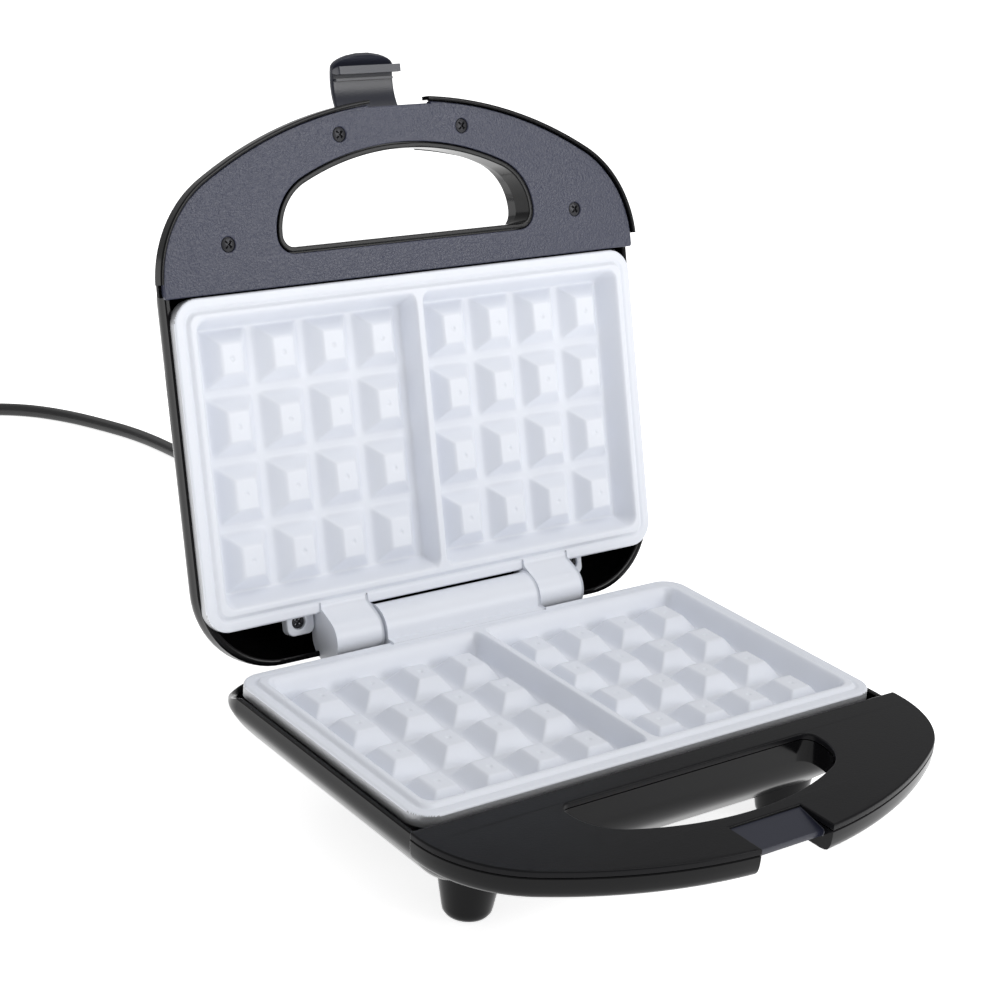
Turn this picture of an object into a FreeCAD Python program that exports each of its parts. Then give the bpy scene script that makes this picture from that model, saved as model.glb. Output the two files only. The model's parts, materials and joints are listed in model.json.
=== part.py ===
import FreeCAD, Part
import math
import os

import Sketcher

# A two-slice waffle maker with its lid open, in millimetres.
# The sheet below holds the driving sizes.  Every housing, plate and handle piece is drawn in
# the hinge frame: origin on the hinge axis, X along it, Y to the rear and Z up, with the lid
# closed.  Lid pieces are then turned about the hinge axis, and the whole object is moved so
# that its origin is under the middle of its box, on the table.

Vector = FreeCAD.Vector
doc = FreeCAD.newDocument("waffle_maker")
sheet = doc.addObject("Spreadsheet::Sheet", "dims")

SIZES = [
    # frame
    ("axis_height", 54.7, "hinge axis above the table"),
    ("axis_shift", 65.15, "hinge axis behind the origin"),
    ("open_angle", 105.2, "lid angle when it rests on its stop"),
    ("latch_angle", 0.0, "latch angle in the lid's frame"),
    # cooking plates
    ("plate_half", 109.8, "half width"),
    ("plate_front", -139.5, "front edge"),
    ("plate_rear", -12.0, "rear edge"),
    ("plate_radius", 10.0, "corner radius"),
    ("plate_gap", 0.15, "lip to parting plane"),
    ("band_drop", 1.2, "outer band below the parting plane"),
    ("band_width", 7.7, "outer band width"),
    ("flange_drop", 6.7, "underside of the flange"),
    ("basin_inset", 5.5, "basin wall inside the flange edge"),
    ("basin_drop", 12.6, "underside of the basin"),
    ("cavity_inset", 12.0, "cavity edge inside the flange edge"),
    ("cavity_drop", 9.6, "cavity floor below the parting plane"),
    ("divider_half", 1.4, "half width of the divider"),
    ("stud_first", 17.3, "first stud column"),
    ("stud_pitch", 22.8, "stud column pitch"),
    ("stud_row", 26.06, "stud row pitch"),
    ("stud_rear", -37.1, "rear stud row"),
    ("stud_wide", 20.0, "stud base along X"),
    ("stud_deep", 22.2, "stud base along Y"),
    ("stud_tall", 6.2, "stud height"),
    ("stud_taper", 41.0, "stud side angle"),
    # hinge
    ("knuckle_radius", 9.0, "middle knuckle"),
    ("ear_radius", 9.8, "outer knuckles"),
    ("knuckle_half", 38.3, "half length of the middle knuckle"),
    ("ear_inner", 39.3, "outer knuckle, inner end"),
    ("ear_outer", 64.0, "outer knuckle, outer end"),
    ("pin_radius", 2.5, "hinge pin"),
    ("pin_fit", 0.05, "radial clearance on the pin"),
    ("tab_x", 69.0, "hinge tab screw"),
    ("tab_y", -8.0, "hinge tab screw"),
    ("tab_face", 6.0, "hinge tab face"),
    # shells
    ("shell_half", 113.5, "half width at the rim"),
    ("shell_front", -148.0, "front wall"),
    ("rim_drop", 5.5, "rim to parting plane"),
    ("waist_drop", 13.0, "end of the upright wall"),
    ("belly_drop", 25.0, "middle of the sloping wall"),
    ("belly_half", 103.0, "half width there"),
    ("floor_drop", 36.5, "flat outer face"),
    ("floor_half", 86.0, "half width of the flat face"),
    ("wall", 2.2, "wall thickness"),
    # handles
    ("handle_half", 116.5, "half width"),
    ("handle_rear", -142.0, "rear edge of the cover"),
    ("handle_front", -211.5, "front of the arc"),
    ("handle_corner", 42.0, "corner radius"),
    ("handle_arc", 178.0, "front radius"),
    ("cover_drop", 2.5, "cover face to parting plane"),
    ("cover_thick", 2.5, "cover thickness"),
    ("low_handle_drop", 14.0, "underside of the base handle"),
    ("lid_handle_drop", 20.5, "outside of the lid handle"),
    ("lid_handle_taper", 30.0, "slope of the lid handle's outer side"),
    ("hole_half", 60.0, "half width of the hand hole"),
    ("hole_corner", 21.0, "hand hole corner radius"),
    ("hole_arc", 114.0, "hand hole front radius"),
    ("hole_small", 5.0, "hand hole rear corner radius"),
    ("low_hole_rear", -152.0, "base hand hole, rear edge"),
    ("low_hole_front", -188.0, "base hand hole, front"),
    ("lid_hole_rear", -156.0, "lid hand hole, rear edge"),
    ("lid_hole_front", -191.0, "lid hand hole, front"),
    ("notch_half", 18.0, "half width of the front notch"),
    ("notch_rear", -194.0, "rear end of the notch"),
    ("notch_ledge", -206.0, "front face of the ledge in the notch"),
    ("lid_notch_rear", -196.0, "rear end of the lid's notch"),
    # latch
    ("latch_half", 14.0, "half width of the latch"),
    ("latch_root", 5.1, "latch barrel radius"),
    ("latch_pivot_y", -201.5, "latch pin"),
    ("latch_pivot_z", 12.5, "latch pin"),
    # heating and cord
    ("element_radius", 3.2, "heating tube radius"),
    ("cord_diameter", 7.0, "power cord"),
    ("coil_radius", 38.0, "middle of the put-away coil's turns"),
    # feet
    ("foot_x", 76.4, "front foot centre"),
    ("foot_rear_x", 45.0, "rear foot centre"),
    ("foot_front", -125.4, "front feet"),
    ("foot_back", -22.0, "rear feet"),
    ("foot_radius", 11.75, "radius at the housing"),
    ("foot_taper", 9.3, "side angle"),
    ("foot_round", 4.0, "bottom rounding"),
]

# A sheet refuses nothing here: each cell is a plain number with a word for its alias.
for row, (alias, amount, note) in enumerate(SIZES, start=1):
    sheet.set("A%d" % row, note)
    sheet.set("B%d" % row, str(amount))
    sheet.setAlias("B%d" % row, alias)
doc.recompute()


class Size:
    """A length from the sheet: its value now, and the expression that keeps it bound."""

    def __init__(self, expression, amount):
        self.expression = expression
        self.amount = amount

    def __neg__(self):
        return Size("-(%s)" % self.expression, -self.amount)

    def __add__(self, other):
        other = as_size(other)
        return Size("(%s + %s)" % (self.expression, other.expression), self.amount + other.amount)

    def __sub__(self, other):
        other = as_size(other)
        return Size("(%s - %s)" % (self.expression, other.expression), self.amount - other.amount)

    def __mul__(self, factor):
        factor = as_size(factor)
        return Size("(%s * %s)" % (self.expression, factor.expression), self.amount * factor.amount)

    __radd__ = __add__
    __rmul__ = __mul__


def as_size(thing):
    return thing if isinstance(thing, Size) else Size(repr(float(thing)), float(thing))


def cell(alias):
    return Size("dims.%s" % alias, float(sheet.get(alias)))


def bind(thing, name, size):
    """Set a property now and keep it bound to the sheet."""
    thing.setExpression(name, as_size(size).expression)


# ---------------------------------------------------------------- sketches

def new_body(name):
    body = doc.addObject("PartDesign::Body", name)
    body.Label = name
    return body


def new_sketch(body, plane, level=0.0):
    """A sketch on one of the body's origin planes, lifted to level along the plane's normal."""
    sketch = body.newObject("Sketcher::SketchObject", body.Name + "_sketch")
    roles = {feature.Role: feature for feature in body.Origin.OriginFeatures}
    sketch.AttachmentSupport = [(roles[plane], "")]
    sketch.MapMode = "FlatFace"
    bind(sketch, "AttachmentOffset.Base.z", level)
    return sketch


def dimension(sketch, kind, places, size):
    """A driving dimension whose value stays bound to the sheet."""
    size = as_size(size)
    index = sketch.addConstraint(Sketcher.Constraint(kind, *places, size.amount))
    sketch.setExpression("Constraints[%d]" % index, size.expression)


def fix_point(sketch, geometry, end, along_x, along_y):
    """Hold one end of a geometry at a distance from the sketch origin."""
    for kind, size in (("DistanceX", as_size(along_x)), ("DistanceY", as_size(along_y))):
        if size.amount == 0.0:
            axis = -2 if kind == "DistanceX" else -1
            sketch.addConstraint(Sketcher.Constraint("PointOnObject", geometry, end, axis))
        else:
            dimension(sketch, kind, (-1, 1, geometry, end), size)


def add_arc(sketch, centre, radius, start_degrees, end_degrees):
    circle = Part.Circle(Vector(centre[0], centre[1], 0), Vector(0, 0, 1), radius)
    arc = Part.ArcOfCircle(circle, math.radians(start_degrees), math.radians(end_degrees))
    return sketch.addGeometry(arc, False)


def add_line(sketch, start, end):
    return sketch.addGeometry(Part.LineSegment(Vector(*start, 0), Vector(*end, 0)), False)


def draw_circle(sketch, along_x, along_y, radius):
    along_x, along_y, radius = as_size(along_x), as_size(along_y), as_size(radius)
    centre = Vector(along_x.amount, along_y.amount, 0)
    index = sketch.addGeometry(Part.Circle(centre, Vector(0, 0, 1), radius.amount), False)
    fix_point(sketch, index, 3, along_x, along_y)
    dimension(sketch, "Radius", (index,), radius)


def draw_polygon(sketch, corners):
    """Straight sides through corners, each corner held by two distances."""
    corners = [(as_size(x), as_size(y)) for x, y in corners]
    sides = []
    for (x0, y0), (x1, y1) in zip(corners, corners[1:] + corners[:1]):
        sides.append(add_line(sketch, (x0.amount, y0.amount), (x1.amount, y1.amount)))
    for side, following in zip(sides, sides[1:] + sides[:1]):
        sketch.addConstraint(Sketcher.Constraint("Coincident", side, 2, following, 1))
    for side, (x, y) in zip(sides, corners):
        fix_point(sketch, side, 1, x, y)


def draw_rectangle(sketch, left, right, low, high):
    draw_polygon(sketch, [(left, low), (right, low), (right, high), (left, high)])


def draw_rounded(sketch, left, right, low, high, low_radius, high_radius=None):
    """A rectangle with rounded corners, counter-clockwise from its low side."""
    left, right, low, high = as_size(left), as_size(right), as_size(low), as_size(high)
    low_radius = as_size(low_radius)
    high_radius = as_size(low_radius if high_radius is None else high_radius)
    l, r, b, t = left.amount, right.amount, low.amount, high.amount
    p, q = low_radius.amount, high_radius.amount
    low_side = add_line(sketch, (l + p, b), (r - p, b))
    low_right = add_arc(sketch, (r - p, b + p), p, 270, 360)
    right_side = add_line(sketch, (r, b + p), (r, t - q))
    high_right = add_arc(sketch, (r - q, t - q), q, 0, 90)
    high_side = add_line(sketch, (r - q, t), (l + q, t))
    high_left = add_arc(sketch, (l + q, t - q), q, 90, 180)
    left_side = add_line(sketch, (l, t - q), (l, b + p))
    low_left = add_arc(sketch, (l + p, b + p), p, 180, 270)
    ring = [low_side, low_right, right_side, high_right, high_side, high_left, left_side, low_left]
    for one, following in zip(ring, ring[1:] + ring[:1]):
        sketch.addConstraint(Sketcher.Constraint("Tangent", one, 2, following, 1))
    for side in (low_side, high_side):
        sketch.addConstraint(Sketcher.Constraint("Horizontal", side))
    for side in (left_side, right_side):
        sketch.addConstraint(Sketcher.Constraint("Vertical", side))
    sketch.addConstraint(Sketcher.Constraint("Equal", low_right, low_left))
    sketch.addConstraint(Sketcher.Constraint("Equal", high_right, high_left))
    dimension(sketch, "DistanceX", (-1, 1, left_side, 1), left)
    dimension(sketch, "DistanceX", (-1, 1, right_side, 1), right)
    dimension(sketch, "DistanceY", (-1, 1, low_side, 1), low)
    dimension(sketch, "DistanceY", (-1, 1, high_side, 1), high)
    dimension(sketch, "Radius", (low_right,), low_radius)
    dimension(sketch, "Radius", (high_right,), high_radius)


def draw_bow(sketch, half, rear, front, small, corner, arc):
    """A D shape: a straight rear side, two corner arcs and one large arc in front."""
    half, rear, front = as_size(half), as_size(rear), as_size(front)
    small, corner, arc = as_size(small), as_size(corner), as_size(arc)
    w, r, f, s = half.amount, rear.amount, front.amount, small.amount
    c, a = corner.amount, arc.amount
    middle = f + a
    reach = math.sqrt((a - c) ** 2 - (w - c) ** 2)
    turn = math.degrees(math.atan2(reach, w - c))
    rear_side = add_line(sketch, (w - s, r), (-w + s, r))
    left_small = add_arc(sketch, (-w + s, r - s), s, 90, 180)
    left_side = add_line(sketch, (-w, r - s), (-w, middle - reach))
    left_corner = add_arc(sketch, (-w + c, middle - reach), c, 180, 180 + turn)
    front_arc = add_arc(sketch, (0, middle), a, 180 + turn, 360 - turn)
    right_corner = add_arc(sketch, (w - c, middle - reach), c, 360 - turn, 360)
    right_side = add_line(sketch, (w, middle - reach), (w, r - s))
    right_small = add_arc(sketch, (w - s, r - s), s, 0, 90)
    ring = [rear_side, left_small, left_side, left_corner,
            front_arc, right_corner, right_side, right_small]
    for one, following in zip(ring, ring[1:] + ring[:1]):
        sketch.addConstraint(Sketcher.Constraint("Tangent", one, 2, following, 1))
    sketch.addConstraint(Sketcher.Constraint("Symmetric", rear_side, 1, rear_side, 2, -2))
    for side in (left_side, right_side):
        sketch.addConstraint(Sketcher.Constraint("Vertical", side))
    sketch.addConstraint(Sketcher.Constraint("Equal", left_small, right_small))
    sketch.addConstraint(Sketcher.Constraint("Equal", left_corner, right_corner))
    sketch.addConstraint(Sketcher.Constraint("PointOnObject", front_arc, 3, -2))
    dimension(sketch, "DistanceX", (-1, 1, right_side, 1), half)
    dimension(sketch, "DistanceY", (-1, 1, rear_side, 1), rear)
    dimension(sketch, "DistanceY", (-1, 1, front_arc, 3), front + arc)
    dimension(sketch, "Radius", (front_arc,), arc)
    dimension(sketch, "Radius", (right_corner,), corner)
    dimension(sketch, "Radius", (right_small,), small)


# ---------------------------------------------------------------- solids

def extrude(body, kind, sketch, length, upward, taper=None):
    """A Pad or Pocket of the sketch; upward means along the sketch plane's normal."""
    feature = body.newObject("PartDesign::" + kind, body.Name + "_" + kind.lower())
    feature.Profile = sketch
    bind(feature, "Length", length)
    feature.Reversed = (not upward) if kind == "Pad" else upward
    if taper is not None:
        bind(feature, "TaperAngle", taper)
    sketch.Visibility = False
    return feature


def pad(body, sketch, length, upward=True, taper=None):
    return extrude(body, "Pad", sketch, length, upward, taper)


def pocket(body, sketch, length, upward=True):
    """Cut along the sketch normal, and stop if nothing was cut."""
    doc.recompute()
    before = body.Shape.Volume
    feature = extrude(body, "Pocket", sketch, length, upward)
    doc.recompute()
    if body.Shape.Volume >= before - 1e-6:
        raise RuntimeError("pocket cuts nothing in " + body.Label)
    return feature


def loft(body, sketches, subtractive=False, ruled=False):
    kind = "PartDesign::SubtractiveLoft" if subtractive else "PartDesign::AdditiveLoft"
    feature = body.newObject(kind, body.Name + "_loft")
    feature.Profile = sketches[0]
    feature.Sections = sketches[1:]
    feature.Ruled = ruled
    return feature


def round_edges(body, radius, wanted):
    """Fillet the edges of the body's last shape for which wanted(edge) is true."""
    doc.recompute()
    base = body.Tip
    names = ["Edge%d" % (index + 1) for index, edge in enumerate(base.Shape.Edges) if wanted(edge)]
    if not names:
        raise RuntimeError("no edge to round in " + body.Label)
    feature = body.newObject("PartDesign::Fillet", body.Name + "_fillet")
    feature.Base = (base, names)
    bind(feature, "Radius", radius)
    doc.recompute()
    return feature


# ---------------------------------------------------------------- placing and finishing

PARTS = []


def turn_about_axis(angle):
    """The placement of a piece that turned by angle about X on the hinge axis."""
    return FreeCAD.Placement(Vector(0, 0, 0), FreeCAD.Rotation(Vector(1, 0, 0), angle))


def place(thing, lid=False, latch=False):
    """Put a piece drawn in the hinge frame into the object's frame."""
    shift = FreeCAD.Placement(Vector(0, cell("axis_shift").amount, cell("axis_height").amount),
                              FreeCAD.Rotation())
    where = shift
    if lid or latch:
        where = where.multiply(turn_about_axis(-cell("open_angle").amount))
    if latch:
        pivot = Vector(0, cell("latch_pivot_y").amount, cell("latch_pivot_z").amount)
        there = FreeCAD.Placement(pivot, FreeCAD.Rotation())
        back = FreeCAD.Placement(Vector(0, 0, 0) - pivot, FreeCAD.Rotation())
        where = where.multiply(there).multiply(turn_about_axis(cell("latch_angle").amount))
        where = where.multiply(back)
    thing.Placement = where
    PARTS.append(thing)
    return thing


# ---------------------------------------------------------------- shared places

POSTS = [(x, y) for x in (-50.0, 50.0) for y in (-50.0, -102.0)]
SCREW_SPOTS = [(84.4, -159.6), (-84.4, -159.6), (29.6, -198.2), (-29.6, -198.2)]
LAMP_SPOTS = (-9.0, 9.0)
LAMP_Y = -112.0
CORD_X = 60.0
CORD_DROP = -24.0


# ---------------------------------------------------------------- cooking plates

def mirrored_pair(size):
    size = as_size(size)
    return (-size, size)


def stud_centres():
    """Columns and rows of the waffle studs: four by four in each half."""
    columns = []
    for step in range(4):
        column = cell("stud_first") + cell("stud_pitch") * step
        columns += [column, -column]
    rows = [cell("stud_rear") - cell("stud_row") * step for step in range(4)]
    return [(column, row) for column in columns for row in rows]


def plate_blank(body, away, side):
    """Flange, lip, basin, two cavities and their studs; side is -1 below, +1 above."""
    half, front, rear = cell("plate_half"), cell("plate_front"), cell("plate_rear")
    radius, inset = cell("plate_radius"), cell("cavity_inset")

    flange = new_sketch(body, "XY_Plane", cell("band_drop") * side)
    draw_rounded(flange, -half, half, front, rear, radius)
    pad(body, flange, cell("flange_drop") - cell("band_drop"), away)

    band = cell("band_width")
    lip = new_sketch(body, "XY_Plane", cell("plate_gap") * side)
    draw_rounded(lip, -half + band, half - band, front + band, rear - band, radius - 4.0)
    pad(body, lip, cell("band_drop") - cell("plate_gap"), away)

    step_in = cell("basin_inset")
    basin = new_sketch(body, "XY_Plane", cell("flange_drop") * side)
    draw_rounded(basin, -half + step_in, half - step_in, front + step_in, rear - step_in, radius)
    pad(body, basin, cell("basin_drop") - cell("flange_drop"), away)

    divider = cell("divider_half")
    for left, right in ((-half + inset, -divider), (divider, half - inset)):
        cavity = new_sketch(body, "XY_Plane", cell("plate_gap") * side)
        draw_rounded(cavity, left, right, front + inset, rear - inset, radius - 6.0)
        pocket(body, cavity, cell("cavity_drop") - cell("plate_gap"), away)

    studs = new_sketch(body, "XY_Plane", cell("cavity_drop") * side)
    wide, deep = cell("stud_wide") * 0.5, cell("stud_deep") * 0.5
    for x, y in stud_centres():
        draw_rectangle(studs, x - wide, x + wide, y - deep, y + deep)
    pad(body, studs, cell("stud_tall"), not away, -cell("stud_taper"))


def knuckle(body, start, end, radius, side):
    """A hinge knuckle from start to end along X, with its web to the plate's rear edge."""
    ring = new_sketch(body, "YZ_Plane", start)
    draw_circle(ring, 0.0, 0.0, radius)
    pad(body, ring, end - start)
    web = new_sketch(body, "YZ_Plane", start)
    edge = cell("plate_rear") - 1.0
    draw_polygon(web, [(edge, as_size(1.8) * side), (0.0, as_size(1.8) * side),
                       (0.0, as_size(8.6) * side), (edge, as_size(6.5) * side)])
    pad(body, web, end - start)


def bore_knuckles(body):
    half = cell("ear_outer") + 2.0
    bore = new_sketch(body, "YZ_Plane", -half)
    draw_circle(bore, 0.0, 0.0, cell("pin_radius") + cell("pin_fit"))
    pocket(body, bore, half * 2.0, True)


def lower_plate():
    body = new_body("lower_plate")
    plate_blank(body, False, -1)
    knuckle(body, -cell("knuckle_half"), cell("knuckle_half"), cell("knuckle_radius"), -1)
    posts = new_sketch(body, "XY_Plane", -cell("basin_drop") + 1.0)
    for x, y in POSTS:
        draw_circle(posts, x, y, 4.0)
    pad(body, posts, cell("floor_drop") - cell("wall") - cell("basin_drop") + 0.8, False)
    pilots = new_sketch(body, "XY_Plane", -cell("floor_drop"))
    for x, y in POSTS:
        draw_circle(pilots, x, y, 1.6)
    pocket(body, pilots, 16.0, True)
    bore_knuckles(body)
    place(body)


def upper_plate():
    body = new_body("upper_plate")
    plate_blank(body, True, 1)
    knuckle(body, cell("ear_inner"), cell("ear_outer"), cell("ear_radius"), 1)
    knuckle(body, -cell("ear_outer"), -cell("ear_inner"), cell("ear_radius"), 1)
    face = cell("tab_face")
    for side in (-1, 1):
        tab = new_sketch(body, "XY_Plane", face)
        near, far = (cell("ear_outer") - 1.5) * side, (cell("tab_x") + 5.5) * side
        left, right = (near, far) if side > 0 else (far, near)
        draw_rounded(tab, left, right, cell("plate_rear") - 1.5, cell("tab_y") + 5.5, 1.0)
        pad(body, tab, 4.0)
    holes = new_sketch(body, "XY_Plane", face)
    for side in (-1, 1):
        draw_circle(holes, cell("tab_x") * side, cell("tab_y"), 1.9)
    pocket(body, holes, 8.0, True)
    bore_knuckles(body)
    place(body, lid=True)


# ---------------------------------------------------------------- shells

def shell_sections(side, rears, shrink):
    """Four levels of a shell: rim, waist, belly and flat face, each shrunk by one wall."""
    thick = cell("wall") * shrink
    levels = [
        (cell("rim_drop"), cell("shell_half"), cell("shell_front"), 6.0, rears[0]),
        (cell("waist_drop"), cell("shell_half") - 0.6, cell("shell_front"), 7.0, rears[1]),
        (cell("belly_drop"), cell("belly_half"), cell("shell_front") + 1.5, 10.0, rears[2]),
        (cell("floor_drop") - thick, cell("floor_half"), cell("shell_front") + 12.0, 14.0, rears[3]),
    ]
    sections = []
    for drop, half, front, low_radius, (rear, high_radius) in levels:
        sections.append((drop * side, half - thick, front + thick, rear - thick,
                         low_radius, high_radius))
    return sections


def loft_shell(body, side, rears, shrink):
    sketches = []
    for level, half, front, rear, low_radius, high_radius in shell_sections(side, rears, shrink):
        sketch = new_sketch(body, "XY_Plane", level)
        draw_rounded(sketch, -half, half, front, rear, low_radius, high_radius)
        sketches.append(sketch)
    loft(body, sketches, subtractive=shrink > 0, ruled=True)


def bow(body, level, half, rear, front, small, corner, arc):
    sketch = new_sketch(body, "XY_Plane", level)
    draw_bow(sketch, half, rear, front, small, corner, arc)
    return sketch


def handle_bow(body, level, inset, rear):
    """The handle's outline, set in by inset."""
    return bow(body, level, cell("handle_half") - inset, rear, cell("handle_front") + inset,
               1.0, cell("handle_corner") - inset, cell("handle_arc") - inset)


def hole_bow(body, level, grow, rear, front):
    """The hand hole's outline, grown by grow."""
    return bow(body, level, cell("hole_half") + grow, rear + grow, front - grow,
               cell("hole_small") + grow, cell("hole_corner") + grow, cell("hole_arc") + grow)


def hollow_tray(body, side, seat, bottom, rear, front, slope=0.0):
    """Hollow the handle between its outer wall and the hand hole's wall; slope thickens one."""
    away = side > 0
    wall, start = cell("wall"), seat - 0.2
    outer = wall + slope
    ring = new_sketch(body, "XY_Plane", start * side)
    draw_bow(ring, cell("handle_half") - outer, cell("handle_rear") - wall,
             cell("handle_front") + outer, 1.0, cell("handle_corner") - outer,
             cell("handle_arc") - outer)
    draw_bow(ring, cell("hole_half") + wall, rear + wall, front - wall, cell("hole_small") + wall,
             cell("hole_corner") + wall, cell("hole_arc") + wall)
    pocket(body, ring, bottom - wall - start, away)
    hole = hole_bow(body, as_size(0.0), 0.0, rear, front)
    pocket(body, hole, 40.0, away)


def notch_walls(body, side, seat, bottom, back):
    """End walls and a back wall that close the hollow handle around the front notch."""
    wall = cell("wall")
    outer = cell("notch_half") + wall
    block = new_sketch(body, "XY_Plane", seat * side)
    draw_rectangle(block, -outer, outer, cell("handle_front") + 2.0, back + wall)
    pad(body, block, bottom - seat - 0.5, side > 0)


def box_cut(body, left, right, low, high, level, length, upward):
    sketch = new_sketch(body, "XY_Plane", level)
    draw_rectangle(sketch, left, right, low, high)
    pocket(body, sketch, length, upward)


def hollow_feet(body, half, row, rise):
    """A mirrored pair of feet that start rise above the underside and are open from inside."""
    feet = new_sketch(body, "XY_Plane", -cell("floor_drop") + rise)
    hollows = new_sketch(body, "XY_Plane", -cell("floor_drop") + 7.0)
    for x in mirrored_pair(half):
        draw_circle(feet, x, row, cell("foot_radius") + 1.1)
        draw_circle(hollows, x, row, 6.2)
    height = cell("axis_height") - cell("floor_drop")
    pad(body, feet, height + rise, False, -cell("foot_taper"))
    pocket(body, hollows, height + 4.0, False)


def lower_housing():
    body = new_body("lower_housing")
    rears = [(as_size(-9.3), 12.0), (as_size(5.0), 26.0), (as_size(-3.0), 22.0),
             (as_size(-8.0), 16.0)]
    seat = cell("cover_drop") + cell("cover_thick")
    bottom = cell("low_handle_drop")
    pad(body, handle_bow(body, -seat, 0.0, cell("handle_rear")), bottom - seat, False)
    hollow_tray(body, -1, seat, bottom, cell("low_hole_rear"), cell("low_hole_front"))
    loft_shell(body, -1, rears, 0)
    loft_shell(body, -1, rears, 1)
    shell_inside = cell("shell_half") - cell("wall")
    inside_front = cell("shell_front") + cell("wall")
    box_cut(body, -shell_inside, shell_inside, inside_front, -130.0, -seat + 1.0, 2.0, False)

    notch, ledge = cell("notch_half"), cell("notch_ledge")
    notch_walls(body, -1, seat, bottom, cell("notch_rear"))
    box_cut(body, -notch, notch, -215.0, -193.4, -2.0, 20.0, False)
    bevel = new_sketch(body, "YZ_Plane", -notch)
    draw_polygon(bevel, [(cell("notch_rear") + 0.6, -5.2), (cell("notch_rear") + 0.2, -3.2),
                         (ledge, -6.2), (ledge, -8.7), (cell("notch_rear") + 2.0, -8.7),
                         (cell("notch_rear") + 2.0, -5.2)])
    pad(body, bevel, notch * 2.0)

    hollow_feet(body, cell("foot_x"), cell("foot_front"), as_size(7.0))
    hollow_feet(body, cell("foot_rear_x"), cell("foot_back"), cell("wall") - 0.1)

    ears = cell("ear_outer") + 2.0
    box_cut(body, -ears, ears, -13.0, 8.0, 0.0, 12.0, False)
    for x, y in POSTS:
        passage = new_sketch(body, "XY_Plane", -cell("floor_drop") - 1.0)
        draw_circle(passage, x, y, 1.8)
        pocket(body, passage, 6.0, True)
    handle_holes = new_sketch(body, "XY_Plane", -bottom - 1.0)
    for x, y in SCREW_SPOTS:
        draw_circle(handle_holes, x, y, 1.8)
    pocket(body, handle_holes, 6.0, True)
    cord_hole = new_sketch(body, "XZ_Plane", 20.0)
    draw_circle(cord_hole, CORD_X, CORD_DROP, 5.6)
    pocket(body, cord_hole, 40.0, False)
    doc.recompute()
    floor = -cell("axis_height").amount
    round_edges(body, cell("foot_round"),
                lambda edge: edge.BoundBox.ZMax < floor + 0.01)
    place(body)


def upper_housing():
    body = new_body("upper_housing")
    rears = [(as_size(6.5), 28.0), (as_size(6.5), 28.0), (as_size(-1.0), 24.0),
             (as_size(-20.0), 16.0)]
    seat = cell("cover_drop") + cell("cover_thick")
    bottom = cell("lid_handle_drop")
    pad(body, handle_bow(body, as_size(1.0), 0.0, cell("handle_rear")), seat - 0.5, True)
    pad(body, handle_bow(body, seat + 0.5, 0.0, cell("handle_rear")), bottom - seat - 0.5, True,
        -cell("lid_handle_taper"))
    cover_seat = handle_bow(body, as_size(0.5), 2.6, as_size(-130.0))
    pocket(body, cover_seat, seat - 0.5, True)
    hollow_tray(body, 1, seat, bottom, cell("lid_hole_rear"), cell("lid_hole_front"), 7.0)
    loft_shell(body, 1, rears, 0)
    loft_shell(body, 1, rears, 1)
    shell_inside = cell("shell_half") - cell("wall")
    inside_front = cell("shell_front") + cell("wall")
    box_cut(body, -shell_inside, shell_inside, inside_front, -130.0, 0.5, 7.0, True)
    notch, pocket_rear = cell("notch_half"), cell("lid_notch_rear")
    notch_walls(body, 1, seat, bottom, pocket_rear)
    box_cut(body, -notch, notch, -215.0, pocket_rear, 0.5, 30.0, True)
    pin_hole = new_sketch(body, "YZ_Plane", -notch - cell("wall") + 0.1)
    draw_circle(pin_hole, cell("latch_pivot_y"), cell("latch_pivot_z"), 1.5)
    pocket(body, pin_hole, (notch + cell("wall")) * 2.0 - 0.2, True)
    ears = cell("ear_outer") + 2.0
    box_cut(body, -ears, ears, -13.0, 8.0, 0.0, 12.0, True)
    bosses = new_sketch(body, "XY_Plane", seat)
    for x, y in SCREW_SPOTS:
        draw_circle(bosses, x, y, 3.4)
    pad(body, bosses, bottom - seat - 1.0)
    pilots = new_sketch(body, "XY_Plane", seat)
    for x, y in SCREW_SPOTS:
        draw_circle(pilots, x, y, 1.5)
    pocket(body, pilots, 11.0, True)
    lamps = new_sketch(body, "XY_Plane", cell("floor_drop") - 4.0)
    for x in LAMP_SPOTS:
        draw_circle(lamps, x, LAMP_Y, 3.6)
    pocket(body, lamps, 8.0, True)
    for side in (-1, 1):
        boss = new_sketch(body, "XY_Plane", cell("tab_face") + 4.1)
        draw_circle(boss, cell("tab_x") * side, cell("tab_y"), 4.0)
        pad(body, boss, 16.0)
        pilot = new_sketch(body, "XY_Plane", cell("tab_face") + 4.1)
        draw_circle(pilot, cell("tab_x") * side, cell("tab_y"), 1.6)
        pocket(body, pilot, 12.0, True)
    place(body, lid=True)


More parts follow.
